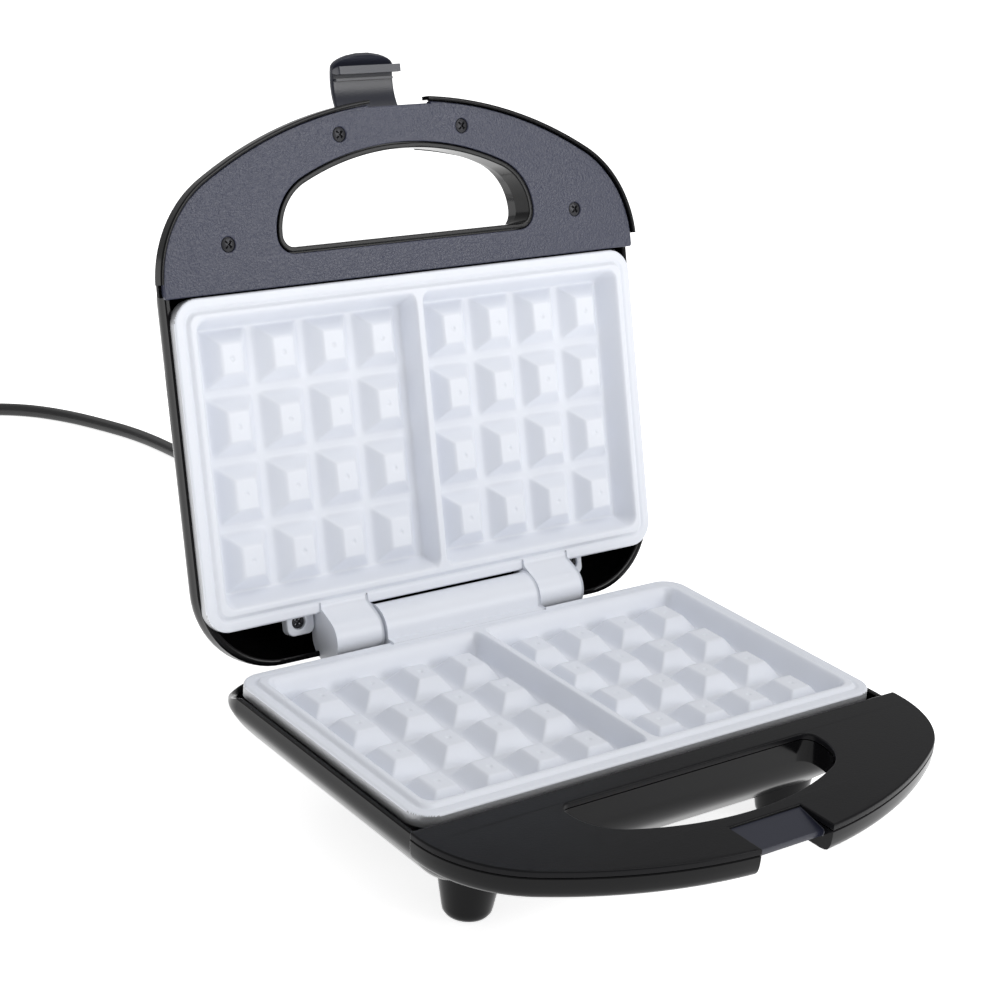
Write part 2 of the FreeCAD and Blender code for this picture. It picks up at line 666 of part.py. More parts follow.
def handle_cover(name, side, inset, rear, front, lid):
    body = new_body(name)
    away = side > 0
    outline = handle_bow(body, cell("cover_drop") * side, inset, cell("handle_rear"))
    pad(body, outline, cell("cover_thick"), away)
    hole = hole_bow(body, as_size(0.0), 0.0, rear, front)
    pocket(body, hole, 20.0, away)
    if lid:
        box_cut(body, -cell("notch_half") + 1.0, cell("notch_half") - 1.0, -215.0, -205.5, 0.0,
                20.0, True)
        heads = new_sketch(body, "XY_Plane", cell("cover_drop"))
        holes = new_sketch(body, "XY_Plane", as_size(0.0))
        for x, y in SCREW_SPOTS:
            draw_circle(heads, x, y, 3.0)
            draw_circle(holes, x, y, 1.9)
        pocket(body, heads, 1.7, True)
        pocket(body, holes, 8.0, True)
    else:
        box_cut(body, -cell("notch_half"), cell("notch_half"), -215.0, cell("notch_rear") + 0.6,
                0.0, 20.0, False)
        bosses = new_sketch(body, "XY_Plane", -cell("cover_drop") - 1.0)
        holes = new_sketch(body, "XY_Plane", -cell("low_handle_drop"))
        for x, y in SCREW_SPOTS:
            draw_circle(bosses, x, y, 3.4)
            draw_circle(holes, x, y, 1.5)
        pad(body, bosses, cell("low_handle_drop") - cell("wall") - cell("cover_drop") - 1.0, False)
        pocket(body, holes, 9.5, True)
    place(body, lid=lid)


# ---------------------------------------------------------------- latch

def latch():
    body = new_body("latch")
    half = cell("latch_half")
    pivot_y, pivot_z = cell("latch_pivot_y"), cell("latch_pivot_z")
    root = new_sketch(body, "YZ_Plane", -half)
    draw_circle(root, pivot_y, pivot_z, cell("latch_root"))
    pad(body, root, half * 2.0)
    strip = new_sketch(body, "YZ_Plane", -half)
    centre = (pivot_y - 18.2, pivot_z - 11.7)
    draw_sector(strip, centre, 22.4, 24.8, 40.0, 119.0)
    pad(body, strip, half * 2.0)
    web = new_sketch(body, "YZ_Plane", -half)
    hook_y, hook_z = pivot_y - 24.0, pivot_z + 2.0
    draw_rectangle(web, hook_y - 1.2, hook_y + 1.2, hook_z, hook_z + 9.8)
    pad(body, web, half * 2.0)
    bar = new_sketch(body, "YZ_Plane", -half)
    draw_circle(bar, hook_y, hook_z, 2.0)
    pad(body, bar, half * 2.0)
    bore = new_sketch(body, "YZ_Plane", -half - 1.0)
    draw_circle(bore, pivot_y, pivot_z, 1.55)
    pocket(body, bore, half * 2.0 + 2.0, True)
    place(body, latch=True)


def draw_sector(sketch, centre, inner, outer, start, end):
    """A curved strip between two concentric arcs."""
    y, z = as_size(centre[0]), as_size(centre[1])

    def point(radius, degrees):
        turn = math.radians(degrees)
        return (y.amount + radius * math.cos(turn), z.amount + radius * math.sin(turn))

    long_arc = add_arc(sketch, (y.amount, z.amount), outer, start, end)
    end_side = add_line(sketch, point(outer, end), point(inner, end))
    short_arc = add_arc(sketch, (y.amount, z.amount), inner, start, end)
    start_side = add_line(sketch, point(inner, start), point(outer, start))
    for one, other in (((long_arc, 2), (end_side, 1)), ((end_side, 2), (short_arc, 2)),
                       ((short_arc, 1), (start_side, 1)), ((start_side, 2), (long_arc, 1))):
        sketch.addConstraint(Sketcher.Constraint("Coincident", *one, *other))
    sketch.addConstraint(Sketcher.Constraint("Coincident", long_arc, 3, short_arc, 3))
    fix_point(sketch, long_arc, 3, y, z)
    dimension(sketch, "Radius", (long_arc,), outer)
    dimension(sketch, "Radius", (short_arc,), inner)


# ---------------------------------------------------------------- small round pieces

def cylinder(name, radius, length, base, axis):
    """A Part cylinder in the hinge frame, its radius and length bound to the sheet."""
    thing = doc.addObject("Part::Cylinder", name)
    bind(thing, "Radius", radius)
    bind(thing, "Height", length)
    spots = [as_size(value) for value in base]
    turn = FreeCAD.Rotation(Vector(0, 0, 1), Vector(*axis))
    thing.Placement = FreeCAD.Placement(Vector(*[spot.amount for spot in spots]), turn)
    for letter, spot in zip("xyz", spots):
        bind(thing, "Placement.Base." + letter, spot)
    return thing


def cross_recess(name, base, axis, size):
    """Two crossed slots that a screwdriver enters, along axis from base."""
    slots = []
    for index, (wide, deep) in enumerate(((size, size * 0.3), (size * 0.3, size))):
        slot = doc.addObject("Part::Box", "%s_slot%d" % (name, index))
        slot.Length, slot.Width, slot.Height = wide, deep, 1.2
        turn = FreeCAD.Rotation(Vector(0, 0, 1), Vector(*axis))
        corner = turn.multVec(Vector(-wide / 2, -deep / 2, -0.1))
        slot.Placement = FreeCAD.Placement(Vector(*base) + corner, turn)
        slots.append(slot)
    return slots


def screw(name, base, axis, head, head_deep, shank, long):
    """A pan screw whose head face is at base and whose shank runs along axis."""
    along = Vector(*axis)
    start = Vector(*base)
    neck = start + along * (head_deep - 0.2)
    cap = cylinder(name + "_head", head, head_deep, tuple(start), axis)
    rod = cylinder(name + "_shank", shank, long, tuple(neck), axis)
    whole = doc.addObject("Part::MultiFuse", name + "_blank")
    whole.Shapes = [cap, rod]
    tools = doc.addObject("Part::MultiFuse", name + "_recess")
    tools.Shapes = cross_recess(name, base, axis, head * 1.1)
    cut = doc.addObject("Part::Cut", name)
    cut.Base = whole
    cut.Tool = tools
    return cut


def group(name, pieces, lid=False):
    """One node of one or more separate pieces that keep their places within it."""
    whole = doc.addObject("Part::Compound", name)
    whole.Label = name
    whole.Links = pieces
    place(whole, lid=lid)


def screw_group(name, spots, axis, head, head_deep, shank, long, lid=False):
    screws = [screw("%s_%d" % (name, index), spot, axis, head, head_deep, shank, long)
              for index, spot in enumerate(spots)]
    group(name, screws, lid)


def screws():
    cover = cell("cover_drop").amount
    screw_group("handle_cover_screws", [(x, y, cover + 0.35) for x, y in SCREW_SPOTS], (0, 0, 1),
                2.85, 1.3, 1.4, 10.0, lid=True)
    tab = cell("tab_face").amount
    tab_spots = [(cell("tab_x").amount * side, cell("tab_y").amount, tab - 1.4)
                 for side in (-1, 1)]
    screw_group("hinge_tab_screws", tab_spots, (0, 0, 1), 2.85, 1.4, 1.5, 12.0, lid=True)
    under = cell("floor_drop").amount
    screw_group("lower_plate_screws", [(x, y, -under - 1.6) for x, y in POSTS], (0, 0, 1),
                3.2, 1.6, 1.5, 12.0)
    below = cell("low_handle_drop").amount
    screw_group("lower_handle_screws", [(x, y, -below - 1.5) for x, y in SCREW_SPOTS],
                (0, 0, 1), 2.85, 1.5, 1.4, 9.0)


def pins():
    reach = cell("ear_outer") - 0.5
    hinge = cylinder("hinge_rod", cell("pin_radius"), reach * 2.0, (-reach, 0.0, 0.0), (1, 0, 0))
    group("hinge_pin", [hinge])
    half = cell("notch_half") + cell("wall") - 0.2
    rod = cylinder("latch_rod", 1.5, half * 2.0,
                   (-half, cell("latch_pivot_y"), cell("latch_pivot_z")), (1, 0, 0))
    group("latch_pin", [rod], lid=True)


# ---------------------------------------------------------------- heating and control

def rounded_block(name, left, right, front, rear, low, high, radius, lid=False):
    body = new_body(name)
    sketch = new_sketch(body, "XY_Plane", low)
    draw_rounded(sketch, left, right, front, rear, radius)
    pad(body, sketch, as_size(high) - low)
    place(body, lid=lid)
    return body


def reflector(name, side):
    """A shallow sheet pan just outside the heating element."""
    body = new_body(name)
    element = cell("element_radius")
    seat = cell("basin_drop") + element * 2.0 + 0.2
    sheet_thick = 0.8
    away = side > 0
    level = (seat - 3.0) * side
    outline = new_sketch(body, "XY_Plane", level)
    draw_rounded(outline, -97.0, 97.0, -134.0, -35.0, 14.0)
    pad(body, outline, 3.0 + sheet_thick, away)
    inside = new_sketch(body, "XY_Plane", level)
    draw_rounded(inside, -97.0 + sheet_thick, 97.0 - sheet_thick, -134.0 + sheet_thick,
                 -30.0, 14.0 - sheet_thick, 1.0)
    pocket(body, inside, 3.0, away)
    if side < 0:
        holes = new_sketch(body, "XY_Plane", level)
        for x, y in POSTS:
            draw_circle(holes, x, y, 4.5)
        pocket(body, holes, 6.0, away)
    place(body, lid=side > 0)


def thermostats():
    under = cell("basin_drop") + 0.05
    centre = (0.0, -76.0)
    up = (0, 0, 1)
    lower = cylinder("lower_disc", 8.5, 5.8, (*centre, -under - 5.8), up)
    upper = cylinder("upper_disc", 8.5, 5.8, (*centre, under), up)
    fuse = cylinder("fuse_tube", 2.0, 14.0, (-7.0, -52.0, -under - 2.0), (1, 0, 0))
    group("lower_thermostat", [lower])
    group("upper_thermostat", [upper], lid=True)
    group("thermal_fuse", [fuse])


def lamps():
    """Two coloured lenses on the lid, each over a small neon lamp."""
    top = cell("floor_drop")
    for name, x in zip(("power_lamp_lens", "ready_lamp_lens"), LAMP_SPOTS):
        stem = cylinder(name + "_stem", 3.5, 4.4, (x, LAMP_Y, top - 3.4), (0, 0, 1))
        flange = cylinder(name + "_flange", 4.6, 1.2, (x, LAMP_Y, top - 3.45), (0, 0, 1))
        lens = doc.addObject("Part::MultiFuse", name)
        lens.Shapes = [stem, flange]
        place(lens, lid=True)
    bulbs = [cylinder("neon_lamps_%d" % index, 2.6, 9.0, (x, LAMP_Y, top - 12.6), (0, 0, 1))
             for index, x in enumerate(LAMP_SPOTS)]
    group("neon_lamps", bulbs, lid=True)


# ---------------------------------------------------------------- tubes and the power cord

def turn_radius(before, corner, after):
    """The arc that eases a corner: 0.45 of the shorter run over the tangent of half the turn."""
    one, two = corner - before, after - corner
    turn = one.getAngle(two)
    return 0.45 * min(one.Length, two.Length) / math.tan(turn / 2), turn


def eased_path(points):
    """Straight runs joined by tangent arcs, and the radius of each arc."""
    points = [Vector(*point) for point in points]
    edges, radii, start = [], [], points[0]
    for before, corner, after in zip(points, points[1:], points[2:]):
        radius, turn = turn_radius(before, corner, after)
        back = (before - corner).normalize()
        on = (after - corner).normalize()
        reach = radius * math.tan(turn / 2)
        first, last = corner + back * reach, corner + on * reach
        bisector = (back + on).normalize()
        centre = corner + bisector * (radius / math.cos(turn / 2))
        middle = centre - bisector * radius
        edges.append(Part.LineSegment(start, first).toShape())
        edges.append(Part.Arc(first, middle, last).toShape())
        radii.append(radius)
        start = last
    edges.append(Part.LineSegment(start, points[-1]).toShape())
    return Part.Wire(edges), radii


def tube_shape(points, diameter):
    """A round tube along the eased path, checked against its section times its length."""
    path, radii = eased_path(points)
    first = Vector(*points[0])
    along = Vector(*points[1]) - first
    circle = Part.Circle(first, along, diameter / 2)
    profile = Part.Wire([circle.toShape()])
    tube = path.makePipeShell([profile], True, True)
    expected = math.pi * diameter ** 2 / 4 * path.Length
    if abs(tube.Volume - expected) > 0.01 * expected:
        raise RuntimeError("tube volume %.0f, expected %.0f" % (tube.Volume, expected))
    return tube, radii, path.Length


def tube(name, runs, diameter, lid=False):
    """One node of tubes, one for each list of points."""
    shapes = []
    for points in runs:
        shape, radii, length = tube_shape(points, diameter)
        shapes.append(shape)
        print(name, "length %.1f, radii %s" % (length, ["%.0f" % radius for radius in radii]))
    thing = doc.addObject("Part::Feature", name)
    thing.Shape = shapes[0] if len(shapes) == 1 else Part.makeCompound(shapes)
    place(thing, lid=lid)


def heating_elements():
    radius = cell("element_radius").amount
    for name, side in (("lower_heating_element", -1), ("upper_heating_element", 1)):
        level = side * (cell("basin_drop").amount + radius + 0.05)
        loop = [(-25, -28), (-84, -28), (-84, -121), (84, -121), (84, -28), (25, -28)]
        tube(name, [[(x, y, level) for x, y in loop]], radius * 2, lid=side > 0)


def wiring():
    tube("lower_wiring", [
        [(24.7, -28.0, -15.9), (15.5, -27.0, -17.0), (14.5, -20.0, -22.0), (26.0, -15.5, -27.0),
         (38.5, -17.0, -28.3), (40.0, -25.7, -28.6)],
        [(-24.7, -28.0, -15.9), (-15.5, -27.0, -17.0), (-10.0, -19.0, -22.5),
         (20.0, -12.0, -27.0), (44.0, -14.0, -28.5), (46.0, -25.7, -28.8)],
        [(60.0, 2.0, -24.0), (60.0, -13.0, -24.2), (56.0, -25.7, -28.0)],
    ], 2.2)
    tube("upper_wiring", [
        [(side * 24.7, -28.0, 15.9), (side * 14.0, -27.0, 17.5), (side * 13.0, -17.0, 22.5),
         (side * 12.5, -24.0, 29.0), (side * 12.0, -60.0, 29.0), (side * 9.5, -108.5, 28.0)]
        for side in (-1, 1)
    ], 2.2, lid=True)


CORD_ROUTE = [
    (60.0, 30.0, -24.0), (60.0, 57.0, -24.6), (60.5, 100.0, -38.0), (61.0, 150.0, -51.1),
    (62.5, 215.0, -51.1), (63.0, 285.0, -51.1), (60.5, 340.0, -51.1), (54.5, 380.0, -51.1),
    (43.5, 407.0, -51.1), (31.5, 430.0, -51.1), (15.5, 449.0, -51.1), (-8.0, 461.5, -51.1),
    (-38.0, 466.0, -51.1), (-72.0, 463.0, -51.1),
]
CORD_TAIL = [(-110.0, 425.0, -44.0), (-110.5, 412.0, -42.0), (-110.0, 398.0, -36.7)]
COIL_CENTRE = (-72.0, 425.0)


def power_cord():
    diameter = cell("cord_diameter").amount
    tube("power_cord", [CORD_ROUTE], diameter)
    tube("power_cord_tail", [CORD_TAIL], diameter)

    coil = new_body("cord_coil")
    ring = new_sketch(coil, "XY_Plane", -cell("axis_height") + 0.05)
    draw_circle(ring, *COIL_CENTRE, cell("coil_radius") + cell("cord_diameter") * 0.6)
    draw_circle(ring, *COIL_CENTRE, cell("coil_radius") - cell("cord_diameter") * 0.6)
    pad(coil, ring, cell("cord_diameter") * 2.0)
    place(coil)


def strain_relief():
    """A tapered rubber sleeve with a collar each side of the housing's rear wall."""
    body = new_body("cord_strain_relief")
    sleeve = new_sketch(body, "XZ_Plane", 6.0)
    draw_circle(sleeve, CORD_X, CORD_DROP, 5.4)
    pad(body, sleeve, 36.0, False, -3.2)
    bore = new_sketch(body, "XZ_Plane", 8.0)
    draw_circle(bore, CORD_X, CORD_DROP, 2.6)
    pocket(body, bore, 12.0, False)
    place(body)


def plug():
    """An earthed two-pin plug: round front, tapered grip and two pins."""
    axis = (0, -1, 0)
    x, y, level = CORD_TAIL[-1]
    head = cylinder("plug_head", 18.0, 16.0, (x, y - 26.0, level), axis)
    grip = doc.addObject("Part::Cone", "plug_grip")
    grip.Radius1, grip.Radius2, grip.Height = 7.5, 13.0, 26.5
    grip.Placement = FreeCAD.Placement(Vector(x, y, level),
                                       FreeCAD.Rotation(Vector(0, 0, 1), Vector(*axis)))
    whole = doc.addObject("Part::MultiFuse", "plug_body")
    whole.Shapes = [head, grip]
    place(whole)
    pins = [cylinder("plug_pins_%d" % index, 2.4, 19.0, (x + offset, y - 42.0, level), axis)
            for index, offset in enumerate((-9.5, 9.5))]
    group("plug_pins", pins)


# ---------------------------------------------------------------- the whole object

def build():
    lower_housing()
    handle_cover("lower_handle_cover", -1, 0.0, cell("low_hole_rear"), cell("low_hole_front"),
                 False)
    lower_plate()
    upper_housing()
    handle_cover("upper_handle_cover", 1, 2.7, cell("lid_hole_rear"), cell("lid_hole_front"),
                 True)
    upper_plate()
    latch()
    screws()
    pins()
    reflector("lower_reflector", -1)
    reflector("upper_reflector", 1)
    heating_elements()
    thermostats()
    lamps()
    wiring()
    block_low = -cell("floor_drop") + cell("wall") + 0.05
    rounded_block("terminal_block", 34.0, 60.0, -42.0, -26.0, block_low, block_low + 10.5, 1.5)
    strain_relief()
    power_cord()
    plug()


def check_and_write():
    doc.recompute()
    bad = [thing.Name for thing in doc.Objects
           if "Invalid" in thing.State or "Error" in thing.State]
    for thing in PARTS:
        shape = thing.Shape
        if shape.isNull() or not shape.isValid():
            bad.append(thing.Label + " shape")
    if bad:
        raise RuntimeError("failed: " + ", ".join(bad))
    os.makedirs("parts", exist_ok=True)
    for thing in PARTS:
        thing.Shape.exportStep("parts/%s.step" % thing.Label)
        box = thing.Shape.BoundBox
        print("%-24s solids %d volume %8.0f  X %.1f..%.1f Y %.1f..%.1f Z %.1f..%.1f" % (
            thing.Label, len(thing.Shape.Solids), thing.Shape.Volume,
            box.XMin, box.XMax, box.YMin, box.YMax, box.ZMin, box.ZMax))


build()
check_and_write()
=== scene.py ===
"""The looks of an open two-slice waffle maker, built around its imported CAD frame.

Pieces are drawn in millimetres in the hinge frame: origin on the hinge axis, X along it, Y to the
rear, Z up, with the lid closed.  A lid piece is then turned open about that axis.
"""

import json
import math

import bmesh
import bpy
import numpy as np
from mathutils import Matrix, Vector
from mathutils.geometry import tessellate_polygon


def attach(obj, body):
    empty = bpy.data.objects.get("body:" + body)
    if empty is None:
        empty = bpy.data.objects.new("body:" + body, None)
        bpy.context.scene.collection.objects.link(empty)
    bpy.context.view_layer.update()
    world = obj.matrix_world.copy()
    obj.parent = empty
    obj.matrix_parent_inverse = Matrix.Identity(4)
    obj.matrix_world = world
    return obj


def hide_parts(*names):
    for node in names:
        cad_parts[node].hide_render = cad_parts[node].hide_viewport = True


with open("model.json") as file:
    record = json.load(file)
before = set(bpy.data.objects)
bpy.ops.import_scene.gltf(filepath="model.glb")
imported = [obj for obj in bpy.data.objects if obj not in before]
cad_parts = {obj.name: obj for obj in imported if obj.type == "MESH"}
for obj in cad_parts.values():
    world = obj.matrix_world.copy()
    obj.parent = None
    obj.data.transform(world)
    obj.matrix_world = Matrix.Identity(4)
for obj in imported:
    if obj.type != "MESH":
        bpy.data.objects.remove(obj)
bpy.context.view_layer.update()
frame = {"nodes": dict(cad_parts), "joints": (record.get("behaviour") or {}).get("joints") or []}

JOINTS = {joint["name"]: joint for joint in frame["joints"]}
HINGE = Vector(JOINTS["lid_hinge"]["pos_m"])
OPEN_ANGLE = math.radians(JOINTS["lid_hinge"]["range_deg"][1])
MM = 0.001

BASE_FRAME = Matrix.Translation(HINGE) @ Matrix.Scale(MM, 4)
LID_FRAME = Matrix.Translation(HINGE) @ Matrix.Rotation(-OPEN_ANGLE, 4, "X") @ Matrix.Scale(MM, 4)

# Latch pivot in the closed lid's own millimetres.
LATCH_PIVOT = LID_FRAME.inverted() @ Vector(JOINTS["latch_pivot"]["pos_m"])

# ------------------------------------------------------------------ sizes, in millimetres

TABLE = -HINGE.z / MM

PLATE_HALF, PLATE_FRONT, PLATE_REAR, PLATE_RADIUS = 109.8, -139.5, -12.0, 10.0
PLATE_LIP, PLATE_BAND, FLANGE_DROP, BASIN_DROP = 0.15, 1.2, 6.7, 12.6
POCKET_HALF, POCKET_FRONT, POCKET_REAR, POCKET_FLOOR = 96.4, -126.6, -25.6, -9.6
TAB_SCREW_X, TAB_SCREW_Y = 69.0, -8.0
STUD_COLUMNS = [sign * (17.3 + 22.8 * step) for step in range(4) for sign in (-1, 1)]
STUD_ROWS = [-37.1 - 26.06 * step for step in range(4)]

SHELL_WALL = 2.2
HANDLE = dict(half=115.8, rear=-142.0, front=-211.5, small=1.0, corner=48.0, sweep=178.0)
LOW_HOLE = dict(half=60.0, rear=-152.0, front=-188.0, small=5.0, corner=21.0, sweep=114.0)
LID_HOLE = dict(half=60.0, rear=-156.0, front=-191.0, small=5.0, corner=21.0, sweep=114.0)
SCREW_SPOTS = [(84.4, -159.6), (-84.4, -159.6), (29.6, -198.2), (-29.6, -198.2)]
NOTCH_HALF = 17.0
FEET = [(-76.4, -125.4), (76.4, -125.4), (-45.0, -22.0), (45.0, -22.0)]


# ------------------------------------------------------------------ materials

COAT_ROUGHNESS = 0.05


def socket(shader, name, value):
    shader.inputs[name].default_value = value


def material(name, colour, roughness, spread=0.03, grain=600.0, bump=0.02, shade=0.94,
             metallic=0.0, coat=0.0, specular=0.5, coarse=25.0):
    """A shader whose colour, roughness and surface vary with two noises."""
    made = bpy.data.materials.new(name)
    made.use_nodes = True
    nodes, links = made.node_tree.nodes, made.node_tree.links
    shader = nodes["Principled BSDF"]
    place = nodes.new("ShaderNodeTexCoord")

    broad = nodes.new("ShaderNodeTexNoise")
    broad.inputs["Scale"].default_value = coarse
    broad.inputs["Detail"].default_value = 3.0
    links.new(place.outputs["Object"], broad.inputs["Vector"])
    fine = nodes.new("ShaderNodeTexNoise")
    fine.inputs["Scale"].default_value = grain
    fine.inputs["Detail"].default_value = 2.0
    links.new(place.outputs["Object"], fine.inputs["Vector"])

    ramp = nodes.new("ShaderNodeValToRGB")
    ramp.color_ramp.elements[0].position = 0.3
    ramp.color_ramp.elements[1].position = 0.7
    ramp.color_ramp.elements[0].color = (*[channel * shade for channel in colour], 1.0)
    ramp.color_ramp.elements[1].color = (*colour, 1.0)
    links.new(broad.outputs["Fac"], ramp.inputs["Fac"])
    links.new(ramp.outputs["Color"], shader.inputs["Base Color"])

    rough = nodes.new("ShaderNodeMapRange")
    rough.inputs["To Min"].default_value = max(0.0, roughness - spread)
    rough.inputs["To Max"].default_value = min(1.0, roughness + spread)
    links.new(broad.outputs["Fac"], rough.inputs["Value"])
    links.new(rough.outputs["Result"], shader.inputs["Roughness"])

    relief = nodes.new("ShaderNodeBump")
    relief.inputs["Strength"].default_value = bump
    relief.inputs["Distance"].default_value = 0.0005
    links.new(fine.outputs["Fac"], relief.inputs["Height"])
    links.new(relief.outputs["Normal"], shader.inputs["Normal"])

    socket(shader, "Metallic", metallic)
    socket(shader, "Coat Weight", coat)
    socket(shader, "Coat Roughness", COAT_ROUGHNESS)
    socket(shader, "Specular IOR Level", specular)
    return made


GLOSS_BLACK = material("gloss_black", (0.003, 0.003, 0.0035), 0.16, bump=0.01, coarse=12.0,
                       specular=0.16)
# Painted sheen: the lid cover's base colour is raised to a grey-blue, far above the base cover's
# near-black, to stand in for the sheen its surface catches from the lamps.
LID_COVER_PAINTED_SHEEN = material("cover_black", (0.042, 0.046, 0.076), 0.3, grain=1100.0, bump=0.6,
                       spread=0.05, specular=0.45)
LATCH_BLACK = material("latch_black", (0.014, 0.016, 0.030), 0.3, grain=1200.0, bump=0.05)
BASE_COVER = material("base_cover_black", (0.006, 0.006, 0.007), 0.3, grain=1200.0, bump=0.06,
                      specular=0.12)
COATING = material("white_coating", (0.79, 0.815, 0.875), 0.38, bump=0.05, grain=900.0, shade=0.98)
RAW_ALUMINIUM = material("raw_aluminium", (0.55, 0.56, 0.58), 0.45, metallic=0.6, grain=1500.0,
                         bump=0.25, shade=0.85)
SCREW_BLACK = material("screw_black", (0.035, 0.035, 0.04), 0.3, metallic=0.6, grain=2500.0,
                       bump=0.15, shade=0.6)
STEEL = material("steel", (0.55, 0.55, 0.56), 0.3, metallic=1.0, grain=1500.0, bump=0.1,
                 shade=0.85)
SHEATH = material("element_sheath", (0.16, 0.16, 0.15), 0.5, metallic=0.8, shade=0.7, bump=0.1)
CERAMIC = material("ceramic", (0.6, 0.56, 0.47), 0.6, bump=0.1, shade=0.85)
SLEEVE = material("glass_sleeve", (0.65, 0.63, 0.56), 0.8, bump=0.3, shade=0.8)
RED_LENS = material("red_lens", (0.6, 0.02, 0.015), 0.12, coat=0.5)
GREEN_LENS = material("green_lens", (0.02, 0.42, 0.08), 0.12, coat=0.5)
NEON = material("neon", (0.8, 0.55, 0.35), 0.1)
CORD_BLACK = material("cord_rubber", (0.012, 0.012, 0.013), 0.34, grain=900.0, bump=0.08)
BRASS = material("brass", (0.7, 0.52, 0.24), 0.28, metallic=1.0, bump=0.08, shade=0.8)


# ------------------------------------------------------------------ outlines

def arc(centre, radius, start, end, steps):
    """Points from start to end degrees, both included."""
    return [(centre[0] + radius * math.cos(math.radians(start + (end - start) * k / steps)),
             centre[1] + radius * math.sin(math.radians(start + (end - start) * k / steps)))
            for k in range(steps + 1)]


def rounded(left, right, low, high, low_radius, high_radius=None, steps=12):
    """A rounded rectangle, counter-clockwise, with its own radius at the high side."""
    high_radius = low_radius if high_radius is None else high_radius
    return (arc((right - low_radius, low + low_radius), low_radius, -90, 0, steps)
            + arc((right - high_radius, high - high_radius), high_radius, 0, 90, steps)
            + arc((left + high_radius, high - high_radius), high_radius, 90, 180, steps)
            + arc((left + low_radius, low + low_radius), low_radius, 180, 270, steps))


def bow(half, rear, front, small, corner, sweep, notch=None, grow=0.0):
    """A D outline, counter-clockwise; notch is (half width, rear end) cut into its front."""
    half, rear, front = half + grow, rear + grow, front - grow
    small, corner, radius = small + grow, corner + grow, sweep + grow
    middle = front + radius
    reach = math.sqrt((radius - corner) ** 2 - (half - corner) ** 2)
    turn = math.degrees(math.atan2(reach, half - corner))
    side = middle - reach
    points = arc((-half + small, rear - small), small, 90, 180, 6)
    points += arc((-half + corner, side), corner, 180, 180 + turn, 24)
    if notch:
        wide, deep = notch
        stop = 270.0 - math.degrees(math.asin(wide / radius))
        points += arc((0.0, middle), radius, 180 + turn, stop, 20)[1:]
        points += [(-wide, deep), (wide, deep)]
        points += arc((0.0, middle), radius, 540 - stop, 360 - turn, 20)[:-1]
    else:
        points += arc((0.0, middle), radius, 180 + turn, 360 - turn, 48)[1:-1]
    points += arc((half - corner, side), corner, 360 - turn, 360, 24)
    points += arc((half - small, rear - small), small, 0, 90, 6)
    return points


def circle(x, y, radius, steps=32):
    return [(x + radius * math.cos(2 * math.pi * k / steps),
             y + radius * math.sin(2 * math.pi * k / steps)) for k in range(steps)]


def offset(outline, amount):
    """The outline moved outward by amount, with mitred corners."""
    moved = []
    count = len(outline)
    for k in range(count):
        before, here, after = (Vector(outline[(k + step) % count]) for step in (-1, 0, 1))
        one, two = (here - before).normalized(), (after - here).normalized()
        normal = Vector((one.y + two.y, -one.x - two.x))
        if normal.length < 1e-6:
            normal = Vector((one.y, -one.x))
        normal.normalize()
        cosine = max(0.5, normal.dot(Vector((one.y, -one.x))))
        moved.append(tuple(here + normal * (amount / cosine)))
    return moved


# ------------------------------------------------------------------ solids

ROUND_STEPS = 3


def flat(point, level):
    return (point[0], point[1], level)


def across(point, level):
    """An outline in the Y-Z plane, with levels along X."""
    return (level, point[0], point[1])


def facing(point, level):
    """An outline in the X-Z plane, with levels along Y."""
    return (point[0], level, point[1])


def prism(outlines, low, high, low_round=0.0, high_round=0.0, turn=flat):
    """Outlines (the first outside, the others holes) pulled from low to high, edges rounded."""
    turns = [math.pi / 2 * k / ROUND_STEPS for k in range(ROUND_STEPS + 1)]
    levels = [(low + low_round * (1 - math.cos(angle)), -low_round * (1 - math.sin(angle)))
              for angle in turns] if low_round else [(low, 0.0)]
    levels += [(high - high_round * (1 - math.sin(angle)), -high_round * (1 - math.cos(angle)))
               for angle in turns] if high_round else [(high, 0.0)]
    verts, faces, ends = [], [], ([], [])
    for index, outline in enumerate(outlines):
        count = len(outline)
        first = len(verts)
        for level, inset in levels:
            ring = offset(outline, inset if index == 0 else -inset)
            verts += [turn(point, level) for point in ring]
        for step in range(len(levels) - 1):
            for k in range(count):
                a, b = first + step * count + k, first + step * count + (k + 1) % count
                faces.append((a, b, b + count, a + count))
        ends[0].append([first + k for k in range(count)])
        ends[1].append([first + (len(levels) - 1) * count + k for k in range(count)])
    for loops in ends:
        corners = [[Vector(verts[k]) for k in loop] for loop in loops]
        order = [k for loop in loops for k in loop]
        for triangle in tessellate_polygon(corners):
            faces.append(tuple(order[k] for k in triangle))
    return verts, faces


def stack(loops):
    """Loops of equal length joined one to the next, with flat ends."""
    verts, faces = [], []
    count = len(loops[0])
    for loop in loops:
        verts += loop
    for step in range(len(loops) - 1):
        for k in range(count):
            a, b = step * count + k, step * count + (k + 1) % count
            faces.append((a, b, b + count, a + count))
    last = (len(loops) - 1) * count
    faces.append(tuple(range(count - 1, -1, -1)))
    faces.append(tuple(range(last, last + count)))
    return verts, faces


def revolve(profile, x, y):
    """A profile of (radius, level) turned about a vertical line."""
    return stack([[flat(point, level) for point in circle(x, y, radius, 48)]
                  for radius, level in profile])


def join(*solids):
    verts, faces = [], []
    for more_verts, more_faces in solids:
        base = len(verts)
        verts += more_verts
        faces += [tuple(base + k for k in face) for face in more_faces]
    return verts, faces


